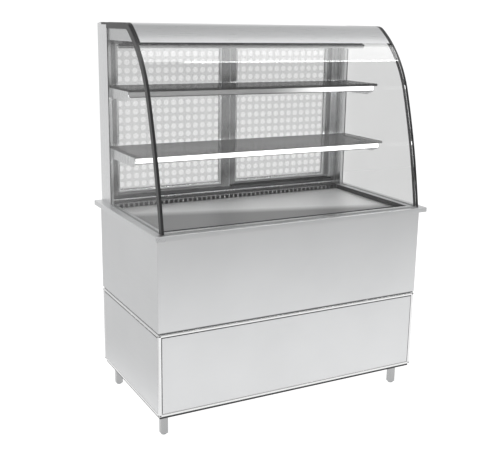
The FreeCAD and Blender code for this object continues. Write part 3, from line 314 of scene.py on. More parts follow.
class FittingSettings(bpy.types.PropertyGroup):
    """Small fittings."""

    bead_width: metres("Bead width", "Width of the glazing bead round a door pane", 0.011)
    bead_share: part("Bead share", "How far the bead fills the step from pane to frame", 0.85)
    moulding_edge: metres("Moulding edge", "Bare edge beside a door moulding", 0.0012)
    moulding_rise: metres("Moulding rise", "How far a door moulding stands out", 0.002)
    running_gap: metres("Running gap", "Gap between a moulding and the door tracks", 0.0015)
    # The pale meeting strip is a painted highlight on the left door's meeting edge
    outer_strip: metres("Outer strip", "Width of the pale strip on a door's outer stile", 0.017)
    highlight_strip_width: metres("Meeting strip", "Width of the pale strip on the meeting edge", 0.0024)
    rim_width: metres("Rim width", "Width of the rim round a finger pull or window", 0.003)
    rim_rise: metres("Rim rise", "How far the pull's rim stands out", 0.0008)
    rim_corner: metres("Rim corner", "Outer corner radius of the pull's rim", 0.008)
    lamp_end_gap: metres("Lamp end gap", "How far a shelf lamp stops short of its right bracket", 0.020)
    lamp_setback: metres("Lamp setback", "How far a shelf lamp sits behind the shelf edge", 0.0005)
    lamp_depth: metres("Lamp depth", "Front to back size of a shelf lamp", 0.018)
    lamp_lip: metres("Lamp lip", "Height of the metal lip under a lens", 0.0028)
    lens_depth: metres("Lens depth", "Thickness of a shelf lamp's lens", 0.007)
    lens_crown: metres("Lens crown", "How far a lens swells to the front", 0.002)
    window_skin: metres("Window skin", "Thickness of a lamp window", 0.0004)
    louvre_margin: metres("Louvre margin", "Bare edge round the louvres", 0.04)
    louvre_length: metres("Louvre length", "Length of one louvre slot", 0.15)
    louvre_width: metres("Louvre width", "Height of one louvre slot", 0.007)
    louvre_pitch_x: metres("Louvre columns", "Distance between columns of louvres", 0.18)
    louvre_pitch_z: metres("Louvre rows", "Distance between rows of louvres", 0.022)
    gland_keep_out: metres("Gland clearance", "Bare margin round the supply inlet", 0.02)
    hood_depth: metres("Hood depth", "How far a louvre hood stands out", 0.006)
    hood_lap: metres("Hood lap", "How far a hood starts above its slot", 0.006)
    hood_skin: metres("Hood skin", "Sheet thickness of a hood", 0.0008)
    screw_radius: metres("Screw radius", "Head radius of the panel screws", 0.0055)
    screw_height: metres("Screw height", "Head height of the panel screws", 0.0022)
    screw_inset: metres("Screw inset", "Distance of the screws from a panel's edge", 0.014)
    screw_columns: bpy.props.IntProperty(
        name="Screw columns", description="Screws along one edge of a rear panel", default=5)
    window_place: metres("Window place", "Middle of the control window from the housing's end", 0.048)
    window_width: metres("Window width", "Width of the control window", 0.062)
    window_height: metres("Window height", "Height of the control window", 0.028)
    bezel_rise: metres("Bezel rise", "How far the control window's bezel stands out", 0.0009)
    seal_radius: metres("Seal radius", "Radius of the sealant bead at the foot of the glass", 0.003)
    glass_thickness: metres("Glass thickness", "Thickness of the front glass at its foot", 0.006)
    trim_reach: metres("Trim reach", "Length of a side pane's foot that the edge trim covers", 0.026)
    fascia_centre: bpy.props.FloatVectorProperty(
        name="Fascia centre", description="Centre of the fascia's curve, in Y and Z",
        default=(0.2476, 1.1763), size=2, unit="LENGTH")
    fascia_radius: metres("Fascia radius", "Radius of the fascia's curve", 0.494)
    brow_radius: metres("Brow radius", "Radius of the tighter curve over the fascia", 0.058)
    brow_angle: degrees("Brow angle", "Lean at which the tighter curve begins", 57)
    end_strip: metres("End strip", "Width of the black strip on a fascia end", 0.008)
    end_skin: metres("End skin", "Thickness of the black strip", 0.0007)
    seam_recess: metres("Seam recess", "Depth of the seam round the body", 0.008)
    seam_crown: metres("Seam crown", "How far the bead fills the seam", 0.005)
    sill_bead: metres("Sill bead", "Height of the pale bead along the sill's foot", 0.008)
    ledge_rise: metres("Ledge rise", "Thickness of the black strip before the sill", 0.0008)
    tail_height: metres("Tail height", "Height of the black strip under a trim's tail", 0.006)
    # The dark lining inside the well's rim is painted shade on the well's walls
    shade_lining_thickness: metres("Lining thickness", "Thickness of the dark lining inside the well's rim", 0.001)
    shade_lining_height: metres("Lining height", "Height of the dark lining inside the well's rim", 0.02)
    shade_lining_drop: metres("Lining drop", "How far the lining starts below the counter top", 0.0025)
    hook_radius: metres("Hook radius", "Outer radius of a shelf hook", 0.007)
    hook_band: metres("Hook band", "Thickness of a shelf hook", 0.0022)
    hook_width: metres("Hook width", "Width of a shelf hook", 0.012)
    hook_drop: metres("Hook drop", "Distance of a hook below its bracket", 0.004)
    hook_place: metres("Hook place", "Distance of a hook behind the post's front edge", 0.01)
    post_width: metres("Post width", "Width of a rear post", 0.018)


def settings(name):
    """The values of one group of settings."""
    return getattr(bpy.context.scene, name)


# Meshes from arrays

def grid_faces(rows, columns, wrap_rows, wrap_columns):
    """Quads of a grid of points: each joins a point to its next row and next column."""
    down = np.arange(rows if wrap_rows else rows - 1)
    across = np.arange(columns if wrap_columns else columns - 1)
    i, j = np.meshgrid(down, across, indexing="ij")
    i2 = (i + 1) % rows
    j2 = (j + 1) % columns
    corners = [i * columns + j, i * columns + j2, i2 * columns + j2, i2 * columns + j]
    return np.stack(corners, -1).reshape(-1, 4)


def plain_mesh(name, points, faces):
    """A mesh from an array of points and a list of faces, smooth but for its sharp edges."""
    mesh = bpy.data.meshes.new(name)
    mesh.from_pydata(points.reshape(-1, 3).tolist(), [], faces)
    mesh.update()
    mesh.polygons.foreach_set("use_smooth", np.ones(len(mesh.polygons), bool))
    mesh.set_sharp_from_angle(angle=SHARP_ANGLE)
    return mesh


def shell(name, points, faces):
    """A closed mesh: doubled points merged and every face turned outwards."""
    draft = plain_mesh(name, points, faces)
    shape = bmesh.new()
    shape.from_mesh(draft)
    bmesh.ops.remove_doubles(shape, verts=shape.verts, dist=MERGE_REACH)
    bmesh.ops.recalc_face_normals(shape, faces=shape.faces)
    shape.to_mesh(draft)
    shape.free()
    draft.set_sharp_from_angle(angle=SHARP_ANGLE)
    return draft


def loft(name, loops, closed=False):
    """Loops of equal length joined in turn: the last to the first, or with a cap on both ends."""
    points = np.array(loops)
    rows, columns = points.shape[:2]
    faces = grid_faces(rows, columns, closed, True).tolist()
    if not closed:
        faces += [list(range(columns)), list(range((rows - 1) * columns, rows * columns))]
    return shell(name, points, faces)


def joined(name, meshes):
    """Several meshes as one."""
    points, faces, first = [], [], 0
    for mesh in meshes:
        place = np.empty(len(mesh.vertices) * 3)
        mesh.vertices.foreach_get("co", place)
        points.append(place.reshape(-1, 3))
        faces += [[first + index for index in polygon.vertices] for polygon in mesh.polygons]
        first += len(mesh.vertices)
        bpy.data.meshes.remove(mesh)
    return plain_mesh(name, np.concatenate(points), faces)


def bar(profile, start, end, side, up):
    """A straight bar: a closed profile (u, v) at both ends, point = end + u * side + v * up."""
    u = profile[:, :1] * np.array(side, float)
    v = profile[:, 1:] * np.array(up, float)
    return loft("bar", [np.array(start, float) + u + v, np.array(end, float) + u + v])


def rounded_loop(x0, x1, y0, y1, corner, height, steps=6):
    """A rectangle with round corners at one height: four quarter circles in turn."""
    turn = np.linspace(0.0, math.pi / 2, steps)
    centres = np.array([
        [x1 - corner, y1 - corner], [x0 + corner, y1 - corner],
        [x0 + corner, y0 + corner], [x1 - corner, y0 + corner],
    ])
    angles = turn[None, :] + (np.arange(4) * math.pi / 2)[:, None]
    arcs = np.stack([np.cos(angles), np.sin(angles)], -1) * corner
    flat = (centres[:, None, :] + arcs).reshape(-1, 2)
    return np.column_stack([flat, np.full(len(flat), height)])


def inset_loops(outline, corner, profile):
    """A loop for each (inset, height) of a profile: the outline moved inwards, its corners less round."""
    x0, x1, y0, y1 = outline
    loops = []
    for inset, height in profile:
        kept = max(corner - inset, LEAST_CORNER)
        loops.append(rounded_loop(x0 + inset, x1 - inset, y0 + inset, y1 - inset, kept, height))
    return np.array(loops)


def stood_up(loops, face):
    """Turns level loops into upright ones that stand out from a face at y."""
    return np.stack([loops[..., 0], face + loops[..., 2], loops[..., 1]], -1)


def quarter(radius, start, steps=6):
    """Points of a quarter circle (u, v) from an angle in quarter turns."""
    turn = (start + np.linspace(0.0, 1.0, steps)) * math.pi / 2
    return radius * np.column_stack([np.cos(turn), np.sin(turn)])


def domed(width, height, share=0.55, steps=9):
    """Profile of a shallow crowned strip: v = height * (share + (1 - share) * sin(pi * u / width))."""
    u = np.linspace(0.0, 1.0, steps)
    crown = np.column_stack([u * width, height * (share + (1 - share) * np.sin(math.pi * u))])
    return np.concatenate([[[0.0, 0.0]], crown, [[width, 0.0]]])


def opening(name):
    """Low and high corner of a stated opening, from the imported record."""
    boxes = frame["record"]["physics"]["openings"]
    return next(np.array(item["box_m"]) for item in boxes if item["name"] == name)


def new_piece(name, meshes, body, finish_name):
    """A finished piece in the scene that rides on a body and has its finish."""
    mesh = joined(name, meshes)
    piece = bpy.data.objects.new(name, mesh)
    bpy.context.scene.collection.objects.link(piece)
    mesh.materials.append(bpy.data.materials[finish_name])
    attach(piece, body)
    return piece


# Nodes

def fill(tree, made, values):
    """Links or sets the sockets of a node."""
    for key, value in values.items():
        if isinstance(value, bpy.types.NodeSocket):
            tree.links.new(value, made.inputs[key])
        else:
            made.inputs[key].default_value = value


def node(tree, kind, values=None, **properties):
    """A node with its properties set and its sockets filled or linked."""
    made = tree.nodes.new(kind)
    for key, value in properties.items():
        setattr(made, key, value)
    fill(tree, made, values or {})
    return made


def maths(tree, operation, *values):
    """The result of a sum on one or two values."""
    return node(tree, "ShaderNodeMath", dict(enumerate(values)), operation=operation).outputs[0]


def product(tree, first, *others):
    """Values multiplied in turn."""
    result = first
    for other in others:
        result = maths(tree, "MULTIPLY", result, other)
    return result


def noise(tree, place, size, **values):
    """A noise from 0 to 1."""
    return node(tree, "ShaderNodeTexNoise", {"Vector": place, "Scale": size, **values}).outputs["Fac"]


def way_along(tree, place, direction):
    """How far a place lies along a direction."""
    made = node(tree, "ShaderNodeVectorMath", {0: place, 1: direction}, operation="DOT_PRODUCT")
    return made.outputs["Value"]


def fade(tree, value, span, low=0.0, high=1.0):
    """A soft step from low to high while a value crosses a span."""
    return node(tree, "ShaderNodeMapRange", {
        "Value": value, "From Min": span[0], "From Max": span[1], "To Min": low, "To Max": high},
        interpolation_type="SMOOTHSTEP").outputs[0]


def spread(tree, value, low, high, start=0.0, end=1.0):
    """A value that runs from start to end, spread evenly between two numbers."""
    return node(tree, "ShaderNodeMapRange", {
        "Value": value, "From Min": start, "From Max": end, "To Min": low, "To Max": high}).outputs[0]


def between(tree, value, low, high):
    """Spreads the middle part of a noise between two numbers."""
    return spread(tree, value, low, high, NOISE_LOW, NOISE_HIGH)


def mixed(tree, factor, first, second):
    """A colour between two."""
    made = node(tree, "ShaderNodeMix", {"Factor": factor, "A": (*first, 1.0), "B": (*second, 1.0)},
                data_type="RGBA")
    return next(socket for socket in made.outputs if socket.type == "RGBA")


def tone(tree, value, dark, light):
    """Spreads the middle part of a noise between two colours."""
    return mixed(tree, between(tree, value, 0.0, 1.0), dark, light)


def seen_or_mirrored(tree, mirrored, seen):
    """One light where the camera sees it directly, another where panes and metal show it."""
    path = tree.nodes.new("ShaderNodeLightPath")
    return node(tree, "ShaderNodeMix", {
        "Factor": path.outputs["Is Camera Ray"], "A": mirrored, "B": seen}, data_type="FLOAT").outputs[0]


# Shared shader groups

def new_group(name, inputs, outputs):
    """An empty shader group with a place, named numbers or vectors to set, and numbers to put out."""
    tree = bpy.data.node_groups.new(name, "ShaderNodeTree")
    for label, default in {"Place": (0, 0, 0), **inputs}.items():
        kind = "NodeSocketVector" if isinstance(default, tuple) else "NodeSocketFloat"
        tree.interface.new_socket(label, in_out="INPUT", socket_type=kind).default_value = default
    for label in outputs:
        tree.interface.new_socket(label, in_out="OUTPUT", socket_type="NodeSocketFloat")
    return tree, tree.nodes.new("NodeGroupInput").outputs, tree.nodes.new("NodeGroupOutput")


def use_group(tree, group, values):
    """The outputs of a shared group in a material."""
    return node(tree, "ShaderNodeGroup", values, node_tree=group).outputs


def grain_group():
    """Brushed grain: noise stretched by a scale per axis, and slow clouds over it."""
    if "brushed grain" in bpy.data.node_groups:
        return bpy.data.node_groups["brushed grain"]
    tree, given, put = new_group(
        "brushed grain", {"Lines": (9, 9, 900), "Cloud size": 3.0}, ("Streak", "Cloud"))
    stretched = node(
        tree, "ShaderNodeVectorMath", {0: given["Place"], 1: given["Lines"]}, operation="MULTIPLY")
    fill(tree, put, {
        "Streak": noise(tree, stretched.outputs[0], 1.0, Detail=2.0),
        "Cloud": noise(tree, given["Place"], given["Cloud size"], Detail=3.0)})
    return tree


def smudge_group():
    """Faint wipe marks and dust specks for polished and glassy surfaces."""
    if "wipe marks" in bpy.data.node_groups:
        return bpy.data.node_groups["wipe marks"]
    tree, given, put = new_group("wipe marks", {"Size": 5.0}, ("Wipe", "Speck"))
    fine = maths(tree, "MULTIPLY", given["Size"], SPECKS_PER_MARK)
    fill(tree, put, {
        "Wipe": noise(tree, given["Place"], given["Size"], Detail=5.0, Distortion=1.2),
        "Speck": noise(tree, given["Place"], fine, Detail=1.0)})
    return tree


def dot_group():
    """A square grid of round dots in the X and Z of the place, inside a span of X."""
    if "dot print" in bpy.data.node_groups:
        return bpy.data.node_groups["dot print"]
    tree, given, put = new_group(
        "dot print", {"Pitch": 0.035, "Radius": 0.012, "First column": 0.0, "First row": 0.0,
                      "Low X": -1.0, "High X": 1.0}, ("Dot",))
    axes = node(tree, "ShaderNodeSeparateXYZ", {0: given["Place"]}).outputs

    def from_nearest(axis, first):
        """Distance along one axis from the nearest dot's middle."""
        steps = maths(tree, "DIVIDE", maths(tree, "SUBTRACT", axes[axis], given[first]), given["Pitch"])
        rest = maths(tree, "SUBTRACT", steps, maths(tree, "ROUND", steps))
        return maths(tree, "MULTIPLY", rest, given["Pitch"])

    both = node(tree, "ShaderNodeCombineXYZ", {
        "X": from_nearest("X", "First column"), "Y": from_nearest("Z", "First row")})
    reach = node(tree, "ShaderNodeVectorMath", {0: both.outputs[0]}, operation="LENGTH").outputs["Value"]
    inside = maths(tree, "SUBTRACT", given["Radius"], reach)
    span = product(tree, maths(tree, "GREATER_THAN", axes["X"], given["Low X"]),
                   maths(tree, "LESS_THAN", axes["X"], given["High X"]))
    fill(tree, put, {"Dot": product(tree, spread(tree, inside, 0.0, 1.0, -DOT_BLUR, DOT_BLUR), span)})
    return tree


# Finishes

def finish(name):
    """A new material: its tree, its shader and the place of each surface point."""
    material = bpy.data.materials.new(name)
    material.use_nodes = True
    tree = material.node_tree
    shader = tree.nodes["Principled BSDF"]
    place = tree.nodes.new("ShaderNodeTexCoord").outputs["Object"]
    return material, tree, shader, place


def relief(tree, height, depth, strength):
    """Normals of a bump from a height value."""
    bump = node(tree, "ShaderNodeBump", {"Height": height, "Distance": depth, "Strength": strength})
    return bump.outputs["Normal"]


def grained(name, lines, roughness, bump):
    """A new metal finish with brushed lines in its roughness and relief."""
    _, tree, shader, place = finish(name)
    grain = use_group(tree, grain_group(), {"Place": place, "Lines": lines, "Cloud size": 3.0})
    fill(tree, shader, {
        "Roughness": between(tree, grain["Streak"], *roughness),
        "Normal": relief(tree, grain["Streak"], GRAIN_DEPTH, bump)})
    return tree, shader, place, grain


def brushed_metal(name, shade, lines, roughness, bump=0.06):
    """Metal in one shade of the settings, brushed along the axes with few lines, with soft clouds."""
    steel = settings("case_steel")
    tree, shader, _, grain = grained(name, lines, roughness, bump)
    dark, light = getattr(steel, shade + "_dark"), getattr(steel, shade + "_light")
    fill(tree, shader, {"Base Color": tone(tree, grain["Cloud"], dark, light), "Metallic": 1.0})


def deck_sheet_painted_light_and_shade(name, lines):
    """Satin deck sheet with painted light and shade: its colour is bright below the rear panes as painted
    light, and darker along Y + X / 4 towards the front left as painted shade.
    """
    steel = settings("case_steel")
    tree, shader, place, _ = grained(name, lines, roughness=(0.38, 0.46), bump=0.06)
    # Painted light below the rear panes, running into painted shade towards the front left
    rear = fade(tree, way_along(tree, place, DECK_SHADE_SLANT), DECK_SHADE_SPAN)
    fill(tree, shader, {"Base Color": tone(tree, rear, steel.deck_painted_shade, steel.deck_painted_light), "Metallic": 0.5})


def wiped_surface(name, dark, light, smooth, rough, metallic=0.0, size=6.0, bump=0.0, specular=0.5):
    """Paint, plastic or polished metal with faint wipe marks and a fine texture."""
    material, tree, shader, place = finish(name)
    marks = use_group(tree, smudge_group(), {"Place": place, "Size": size})
    fill(tree, shader, {
        "Base Color": tone(tree, marks["Wipe"], dark, light),
        "Roughness": between(tree, marks["Wipe"], smooth, rough),
        "Metallic": metallic, "Specular IOR Level": specular})
    if bump:
        fill(tree, shader, {"Normal": relief(tree, marks["Speck"], SPECK_DEPTH, bump)})
    return material


def clear_glass(name, tint, marked, bend):
    """Clear pane: a sharp view through it, its tint a little deeper in faint wipe marks."""
    _, tree, shader, place = finish(name)
    marks = use_group(tree, smudge_group(), {"Place": place, "Size": 2.5})
    fill(tree, shader, {
        "Base Color": tone(tree, marks["Wipe"], marked, tint),
        "Roughness": 0.0, "Transmission Weight": 1.0, "IOR": bend})
    see_through = node(tree, "ShaderNodeBsdfTransparent", {"Color": (*tint, 1.0)})
    path = tree.nodes.new("ShaderNodeLightPath")
    mix = node(tree, "ShaderNodeMixShader", {
        "Fac": path.outputs["Is Shadow Ray"], 1: shader.outputs[0], 2: see_through.outputs[0]})
    fill(tree, tree.nodes["Material Output"], {"Surface": mix.outputs[0]})


def printed_glass(name, first_column):
    """Glass with a grey film and pale round dots."""
    glass = settings("glass_looks")
    _, tree, shader, place = finish(name)
    first_edge = first_column - glass.dot_pitch / 2
    dot = use_group(tree, dot_group(), {
        "Place": place, "Pitch": glass.dot_pitch, "Radius": glass.dot_radius,
        "First column": first_column, "First row": glass.dot_top_row,
        "Low X": first_edge, "High X": first_edge + glass.dot_columns * glass.dot_pitch})["Dot"]
    marks = use_group(tree, smudge_group(), {"Place": place, "Size": 3.0})
    fill(tree, shader, {
        "Base Color": mixed(tree, dot, glass.film_tone, glass.dot_tone),
        "Roughness": between(tree, marks["Wipe"], 0.35, 0.45),
        "Alpha": spread(tree, dot, glass.film_cover, glass.dot_cover),
        "Specular IOR Level": 0.2})


def lit_plastic(name, left_glow, right_glow):
    """Opal lamp cover whose glow runs from one strength to another along X, a little cloudy."""
    _, tree, shader, place = finish(name)
    marks = use_group(tree, smudge_group(), {"Place": place, "Size": 8.0})
    strength = max(left_glow, right_glow)
    across = node(tree, "ShaderNodeSeparateXYZ", {0: place}).outputs["X"]
    level = fade(tree, across, GLOW_SPAN, left_glow / strength, right_glow / strength)
    fill(tree, shader, {
        "Base Color": tone(tree, marks["Wipe"], OPAL_DARK, OPAL_LIGHT),
        "Roughness": between(tree, marks["Speck"], 0.35, 0.45),
        "Emission Color": product(tree, level, between(tree, marks["Wipe"], 0.94, 1.0)),
        "Emission Strength": strength})


def smoked_glass(name, dark, light, cover):
    """Dark shelf glass: some light passes, and its wipe marks show. Each shelf's copy has its own tone, which
    paints the light and shade on that shelf.
    """
    _, tree, shader, place = finish(name)
    wipe = use_group(tree, smudge_group(), {"Place": place, "Size": 3.0})["Wipe"]
    fill(tree, shader, {
        "Base Color": tone(tree, wipe, (dark,) * 3, (light,) * 3),
        "Roughness": between(tree, wipe, 0.03, 0.09),
        "Alpha": between(tree, wipe, cover, cover + SHELF_COVER_SPREAD),
        "IOR": settings("glass_looks").shelf_bend})


# Operators, one for each group of pieces

class CASE_OT_stage(bpy.types.Operator):
    """Floor, soft lights, surroundings and camera"""

    bl_idname = "displaycase.stage"
    bl_label = "Stage"

    def execute(self, context):
        studio = settings("case_studio")
        half = studio.floor_size / 2
        corners = np.array([[-half, -half, 0], [half, -half, 0], [half, half, 0], [-half, half, 0]])
        mesh = plain_mesh("floor", corners, [[0, 1, 2, 3]])
        grey = (studio.floor_tone,) * 3
        pale = wiped_surface("pale floor", grey, grey, smooth=0.7, rough=0.8)
        self.floor_light(pale.node_tree, studio)
        mesh.materials.append(pale)
        floor = bpy.data.objects.new("floor", mesh)
        context.scene.collection.objects.link(floor)
        self.surroundings(context, studio)
        self.soft_box(context, "top box", power=studio.top_box_power, **TOP_BOX)
        self.soft_box(context, "edge tube", power=studio.edge_tube_power, **EDGE_TUBE)
        self.camera(context, studio)
        context.scene.view_settings.view_transform = "Standard"
        return {"FINISHED"}

    def floor_light(self, tree, studio):
        """The floor's own light: even where it is seen directly. In mirrors and panes it is weak far in
        front, full just before the case, and weaker to the left and behind on the right."""
        place = tree.nodes.new("ShaderNodeTexCoord").outputs["Object"]
        ahead = node(tree, "ShaderNodeSeparateXYZ", {0: place}).outputs["Y"]
        front = fade(tree, ahead, FLOOR_FRONT, studio.floor_far_glow, studio.floor_near_glow)
        rear = fade(tree, ahead, FLOOR_REAR, 1.0, studio.floor_rear_glow / studio.floor_near_glow)
        sideways = way_along(tree, place, LEFT_SLANT)
        left = fade(tree, sideways, FLOOR_LEFT, studio.floor_left_share, 1.0)
        far_left = fade(tree, sideways, FLOOR_FAR_LEFT, studio.left_share, 1.0)
        aside = fade(tree, way_along(tree, place, RIGHT_SLANT), FLOOR_ASIDE)
        behind_right = product(tree, aside, fade(tree, ahead, FLOOR_PAST))
        right = spread(tree, behind_right, 1.0, studio.right_share)
        glow = product(tree, front, rear, left, far_left, right)
        fill(tree, tree.nodes["Principled BSDF"], {
            "Emission Color": seen_or_mirrored(tree, glow, studio.floor_seen), "Emission Strength": 1.0})

    def surroundings(self, context, studio):
        """Surroundings graded by height, bright behind the case, and even white where seen directly."""
        world = bpy.data.worlds.new("surroundings")
        context.scene.world = world
        world.use_nodes = True
        tree = world.node_tree
        place = tree.nodes.new("ShaderNodeTexCoord").outputs["Generated"]
        axes = node(tree, "ShaderNodeSeparateXYZ", {0: place}).outputs
        below = fade(tree, axes["Z"], AROUND_OVER, 1.0, 0.0)
        behind = product(tree, fade(tree, axes["Y"], AROUND_BEHIND), below)
        left = fade(tree, axes["X"], AROUND_LEFT, studio.left_share, 1.0)
        right = fade(tree, way_along(tree, place, RIGHT_SLANT), AROUND_ASIDE,
                     studio.rear_light, studio.rear_light * studio.rear_right_share)
        light = node(tree, "ShaderNodeMix", {
            "Factor": behind, "A": self.light_by_height(tree, axes["Z"], studio),
            "B": product(tree, left, right)}, data_type="FLOAT")
        fill(tree, tree.nodes["Background"], {
            "Strength": seen_or_mirrored(tree, light.outputs[0], AROUND_SEEN), "Color": (1, 1, 1, 1)})

    def light_by_height(self, tree, height, studio):
        """A ramp over the height of a direction, from straight down to straight up."""
        ramp = node(tree, "ShaderNodeValToRGB", {"Fac": spread(tree, height, 0.0, 1.0, -1.0, 1.0)})
        stops = ramp.color_ramp.elements
        stops.remove(stops[1])
        for count, (up, light) in enumerate(LIGHT_BY_HEIGHT):
            place = (up + 1) / 2
            stop = stops.new(place) if count else stops[0]
            stop.position = place
            stop.color = (*(getattr(studio, light),) * 3, 1.0)
        return ramp.outputs["Color"]

    def soft_box(self, context, name, place, width, depth, power):
        """A flat light that points down and shows only as a gleam."""
        light = bpy.data.lights.new(name, "AREA")
        light.shape = "RECTANGLE"
        light.size = width
        light.size_y = depth
        light.energy = power
        lamp = bpy.data.objects.new(name, light)
        lamp.location = place
        lamp.visible_diffuse = False
        context.scene.collection.objects.link(lamp)

    def camera(self, context, studio):
        """Right, up and back axes from the turn, the dip and the roll."""
        turn, dip, roll = studio.camera_turn, studio.camera_dip, studio.camera_roll
        ahead = Vector((math.sin(turn) * math.cos(dip), math.cos(turn) * math.cos(dip), -math.sin(dip)))
        level = Vector((math.cos(turn), -math.sin(turn), 0.0))
        above = level.cross(ahead)
        right = level * math.cos(roll) + above * math.sin(roll)
        up = above * math.cos(roll) - level * math.sin(roll)
        data = bpy.data.cameras.new("camera")
        data.lens = studio.camera_lens
        data.sensor_width = SENSOR_WIDTH
        data.sensor_fit = "HORIZONTAL"
        camera = bpy.data.objects.new("camera", data)
        turned = Matrix((right, up, -ahead)).transposed().to_4x4()
        camera.matrix_world = Matrix.Translation(studio.camera_place) @ turned
        context.scene.collection.objects.link(camera)
        context.scene.camera = camera


class CASE_OT_finishes(bpy.types.Operator):
    """Finishes of the modelled sub-parts and the fittings"""

    bl_idname = "displaycase.finishes"
    bl_label = "Finishes"

    def execute(self, context):
        self.metals()
        for name, (dark, light, smooth, rough, others) in PAINTS.items():
            wiped_surface(name, dark, light, smooth, rough, **others)
        self.panes()
        for name, nodes in WORN_BY.items():
            self.dress(bpy.data.materials[name], nodes)
        return {"FINISHED"}

    def metals(self):
        """Satin sheet, the deck, polished tube and the other brushed metals."""
        steel = settings("case_steel")
        across, along = steel.grain_across, steel.grain_along
        level = (along, across, along)
        brushed_metal("satin panel", "satin", (along, along, across), roughness=(0.32, 0.42))
        brushed_metal("satin top", "satin", level, roughness=(0.26, 0.36))
        deck_sheet_painted_light_and_shade("satin deck, painted light and shade", level)
        wiped_surface(
            "polished tube", steel.tube_dark, steel.tube_light, smooth=0.10, rough=0.18, metallic=1.0)
        for name, look in BRUSHED.items():
            brushed_metal(name, *look)

    def panes(self):
        """Clear panes, shelves and printed door panes."""
        glass = settings("glass_looks")
        clear_glass("front pane", glass.pane_tint, glass.pane_marks, glass.pane_bend)
        clear_glass("side pane", glass.side_tint, glass.side_marks, glass.side_bend)
        # A lighter copy for the lower shelf and a darker copy for the middle shelf, as painted light and
        # painted shade
        for name, look in SHELF_GLASS.items():
            smoked_glass(name, *look)
        printed_glass("left dotted pane", glass.left_dot_column)
        printed_glass("right dotted pane", glass.right_dot_column)

    def dress(self, material, names):
        """Puts a finish on modelled sub-parts."""
        for name in names:
            mesh = frame["nodes"][name].data
            mesh.materials.clear()
            mesh.materials.append(material)


class CASE_OT_counter(bpy.types.Operator):
    """Folded counter top with rounded edges"""

    bl_idname = "displaycase.counter"
    bl_label = "Counter top"

    def execute(self, context):
        """A closed section of sheet carried round: skirt, top, turned-down well edge, then back inside."""
        steel = settings("case_steel")
        sheet, bend, wall = steel.sheet, steel.fold_radius, steel.liner_wall
        low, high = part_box("counter_top")
        outer = (low.x, high.x, low.y, high.y)
        well_low, well_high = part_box("well_liner")
        well = (well_low.x + wall, well_high.x - wall, well_low.y + wall, well_high.y - wall)
        fold = quarter(bend, 0)
        rise = high.z - bend + fold[:, 1]
        skirt = np.concatenate([[[0.0, low.z]], np.column_stack([bend - fold[:, 0], rise])])
        edge = np.concatenate([np.column_stack([fold[:, 0] - bend, rise])[::-1], [[0.0, low.z]]])
        loops = [
            inset_loops(outer, steel.counter_corner, skirt),
            inset_loops(well, LEAST_CORNER, edge),
            inset_loops(well, LEAST_CORNER, [(-sheet, low.z), (-sheet, high.z - sheet)]),
            inset_loops(outer, steel.counter_corner, [(sheet, high.z - sheet), (sheet, low.z)]),
        ]
        top = loft("counter", np.concatenate(loops), closed=True)
        piece = new_piece("counter_sheet", [top], CASE, "satin top")
        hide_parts("counter_top")
        return {"FINISHED"}


class CASE_OT_frame(bpy.types.Operator):
    """Lower frame of polished tube with rounded edges"""

    bl_idname = "displaycase.frame"
    bl_label = "Lower frame"

    def execute(self, context):
        """Two rings of tube and four uprights between them."""
        steel = settings("case_steel")
        low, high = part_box("lower_frame")
        outline = (low.x, high.x, low.y, high.y)
        face, depth, radius = steel.tube_face, steel.tube_depth, steel.tube_corner
        curve = quarter(radius, 0)
        tubes = []
        for bottom in (low.z, high.z - face):
            lower = np.column_stack([radius - curve[:, 1], bottom + radius - curve[:, 0]])
            upper = np.column_stack([radius - curve[::-1, 1], bottom + face - radius + curve[::-1, 0]])
            section = np.concatenate([lower, upper, [(depth, bottom + face), (depth, bottom)]])
            tubes.append(loft("rail", inset_loops(outline, steel.frame_corner, section), closed=True))
        for x in (low.x, high.x - face):
            for y in (low.y, high.y - face):
                ends = [rounded_loop(x, x + face, y, y + face, steel.frame_corner, z)
                        for z in (low.z + radius, high.z - radius)]
                tubes.append(loft("upright", ends))
        piece = new_piece("frame_tube", tubes, CASE, "polished tube")
        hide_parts("lower_frame")
        return {"FINISHED"}


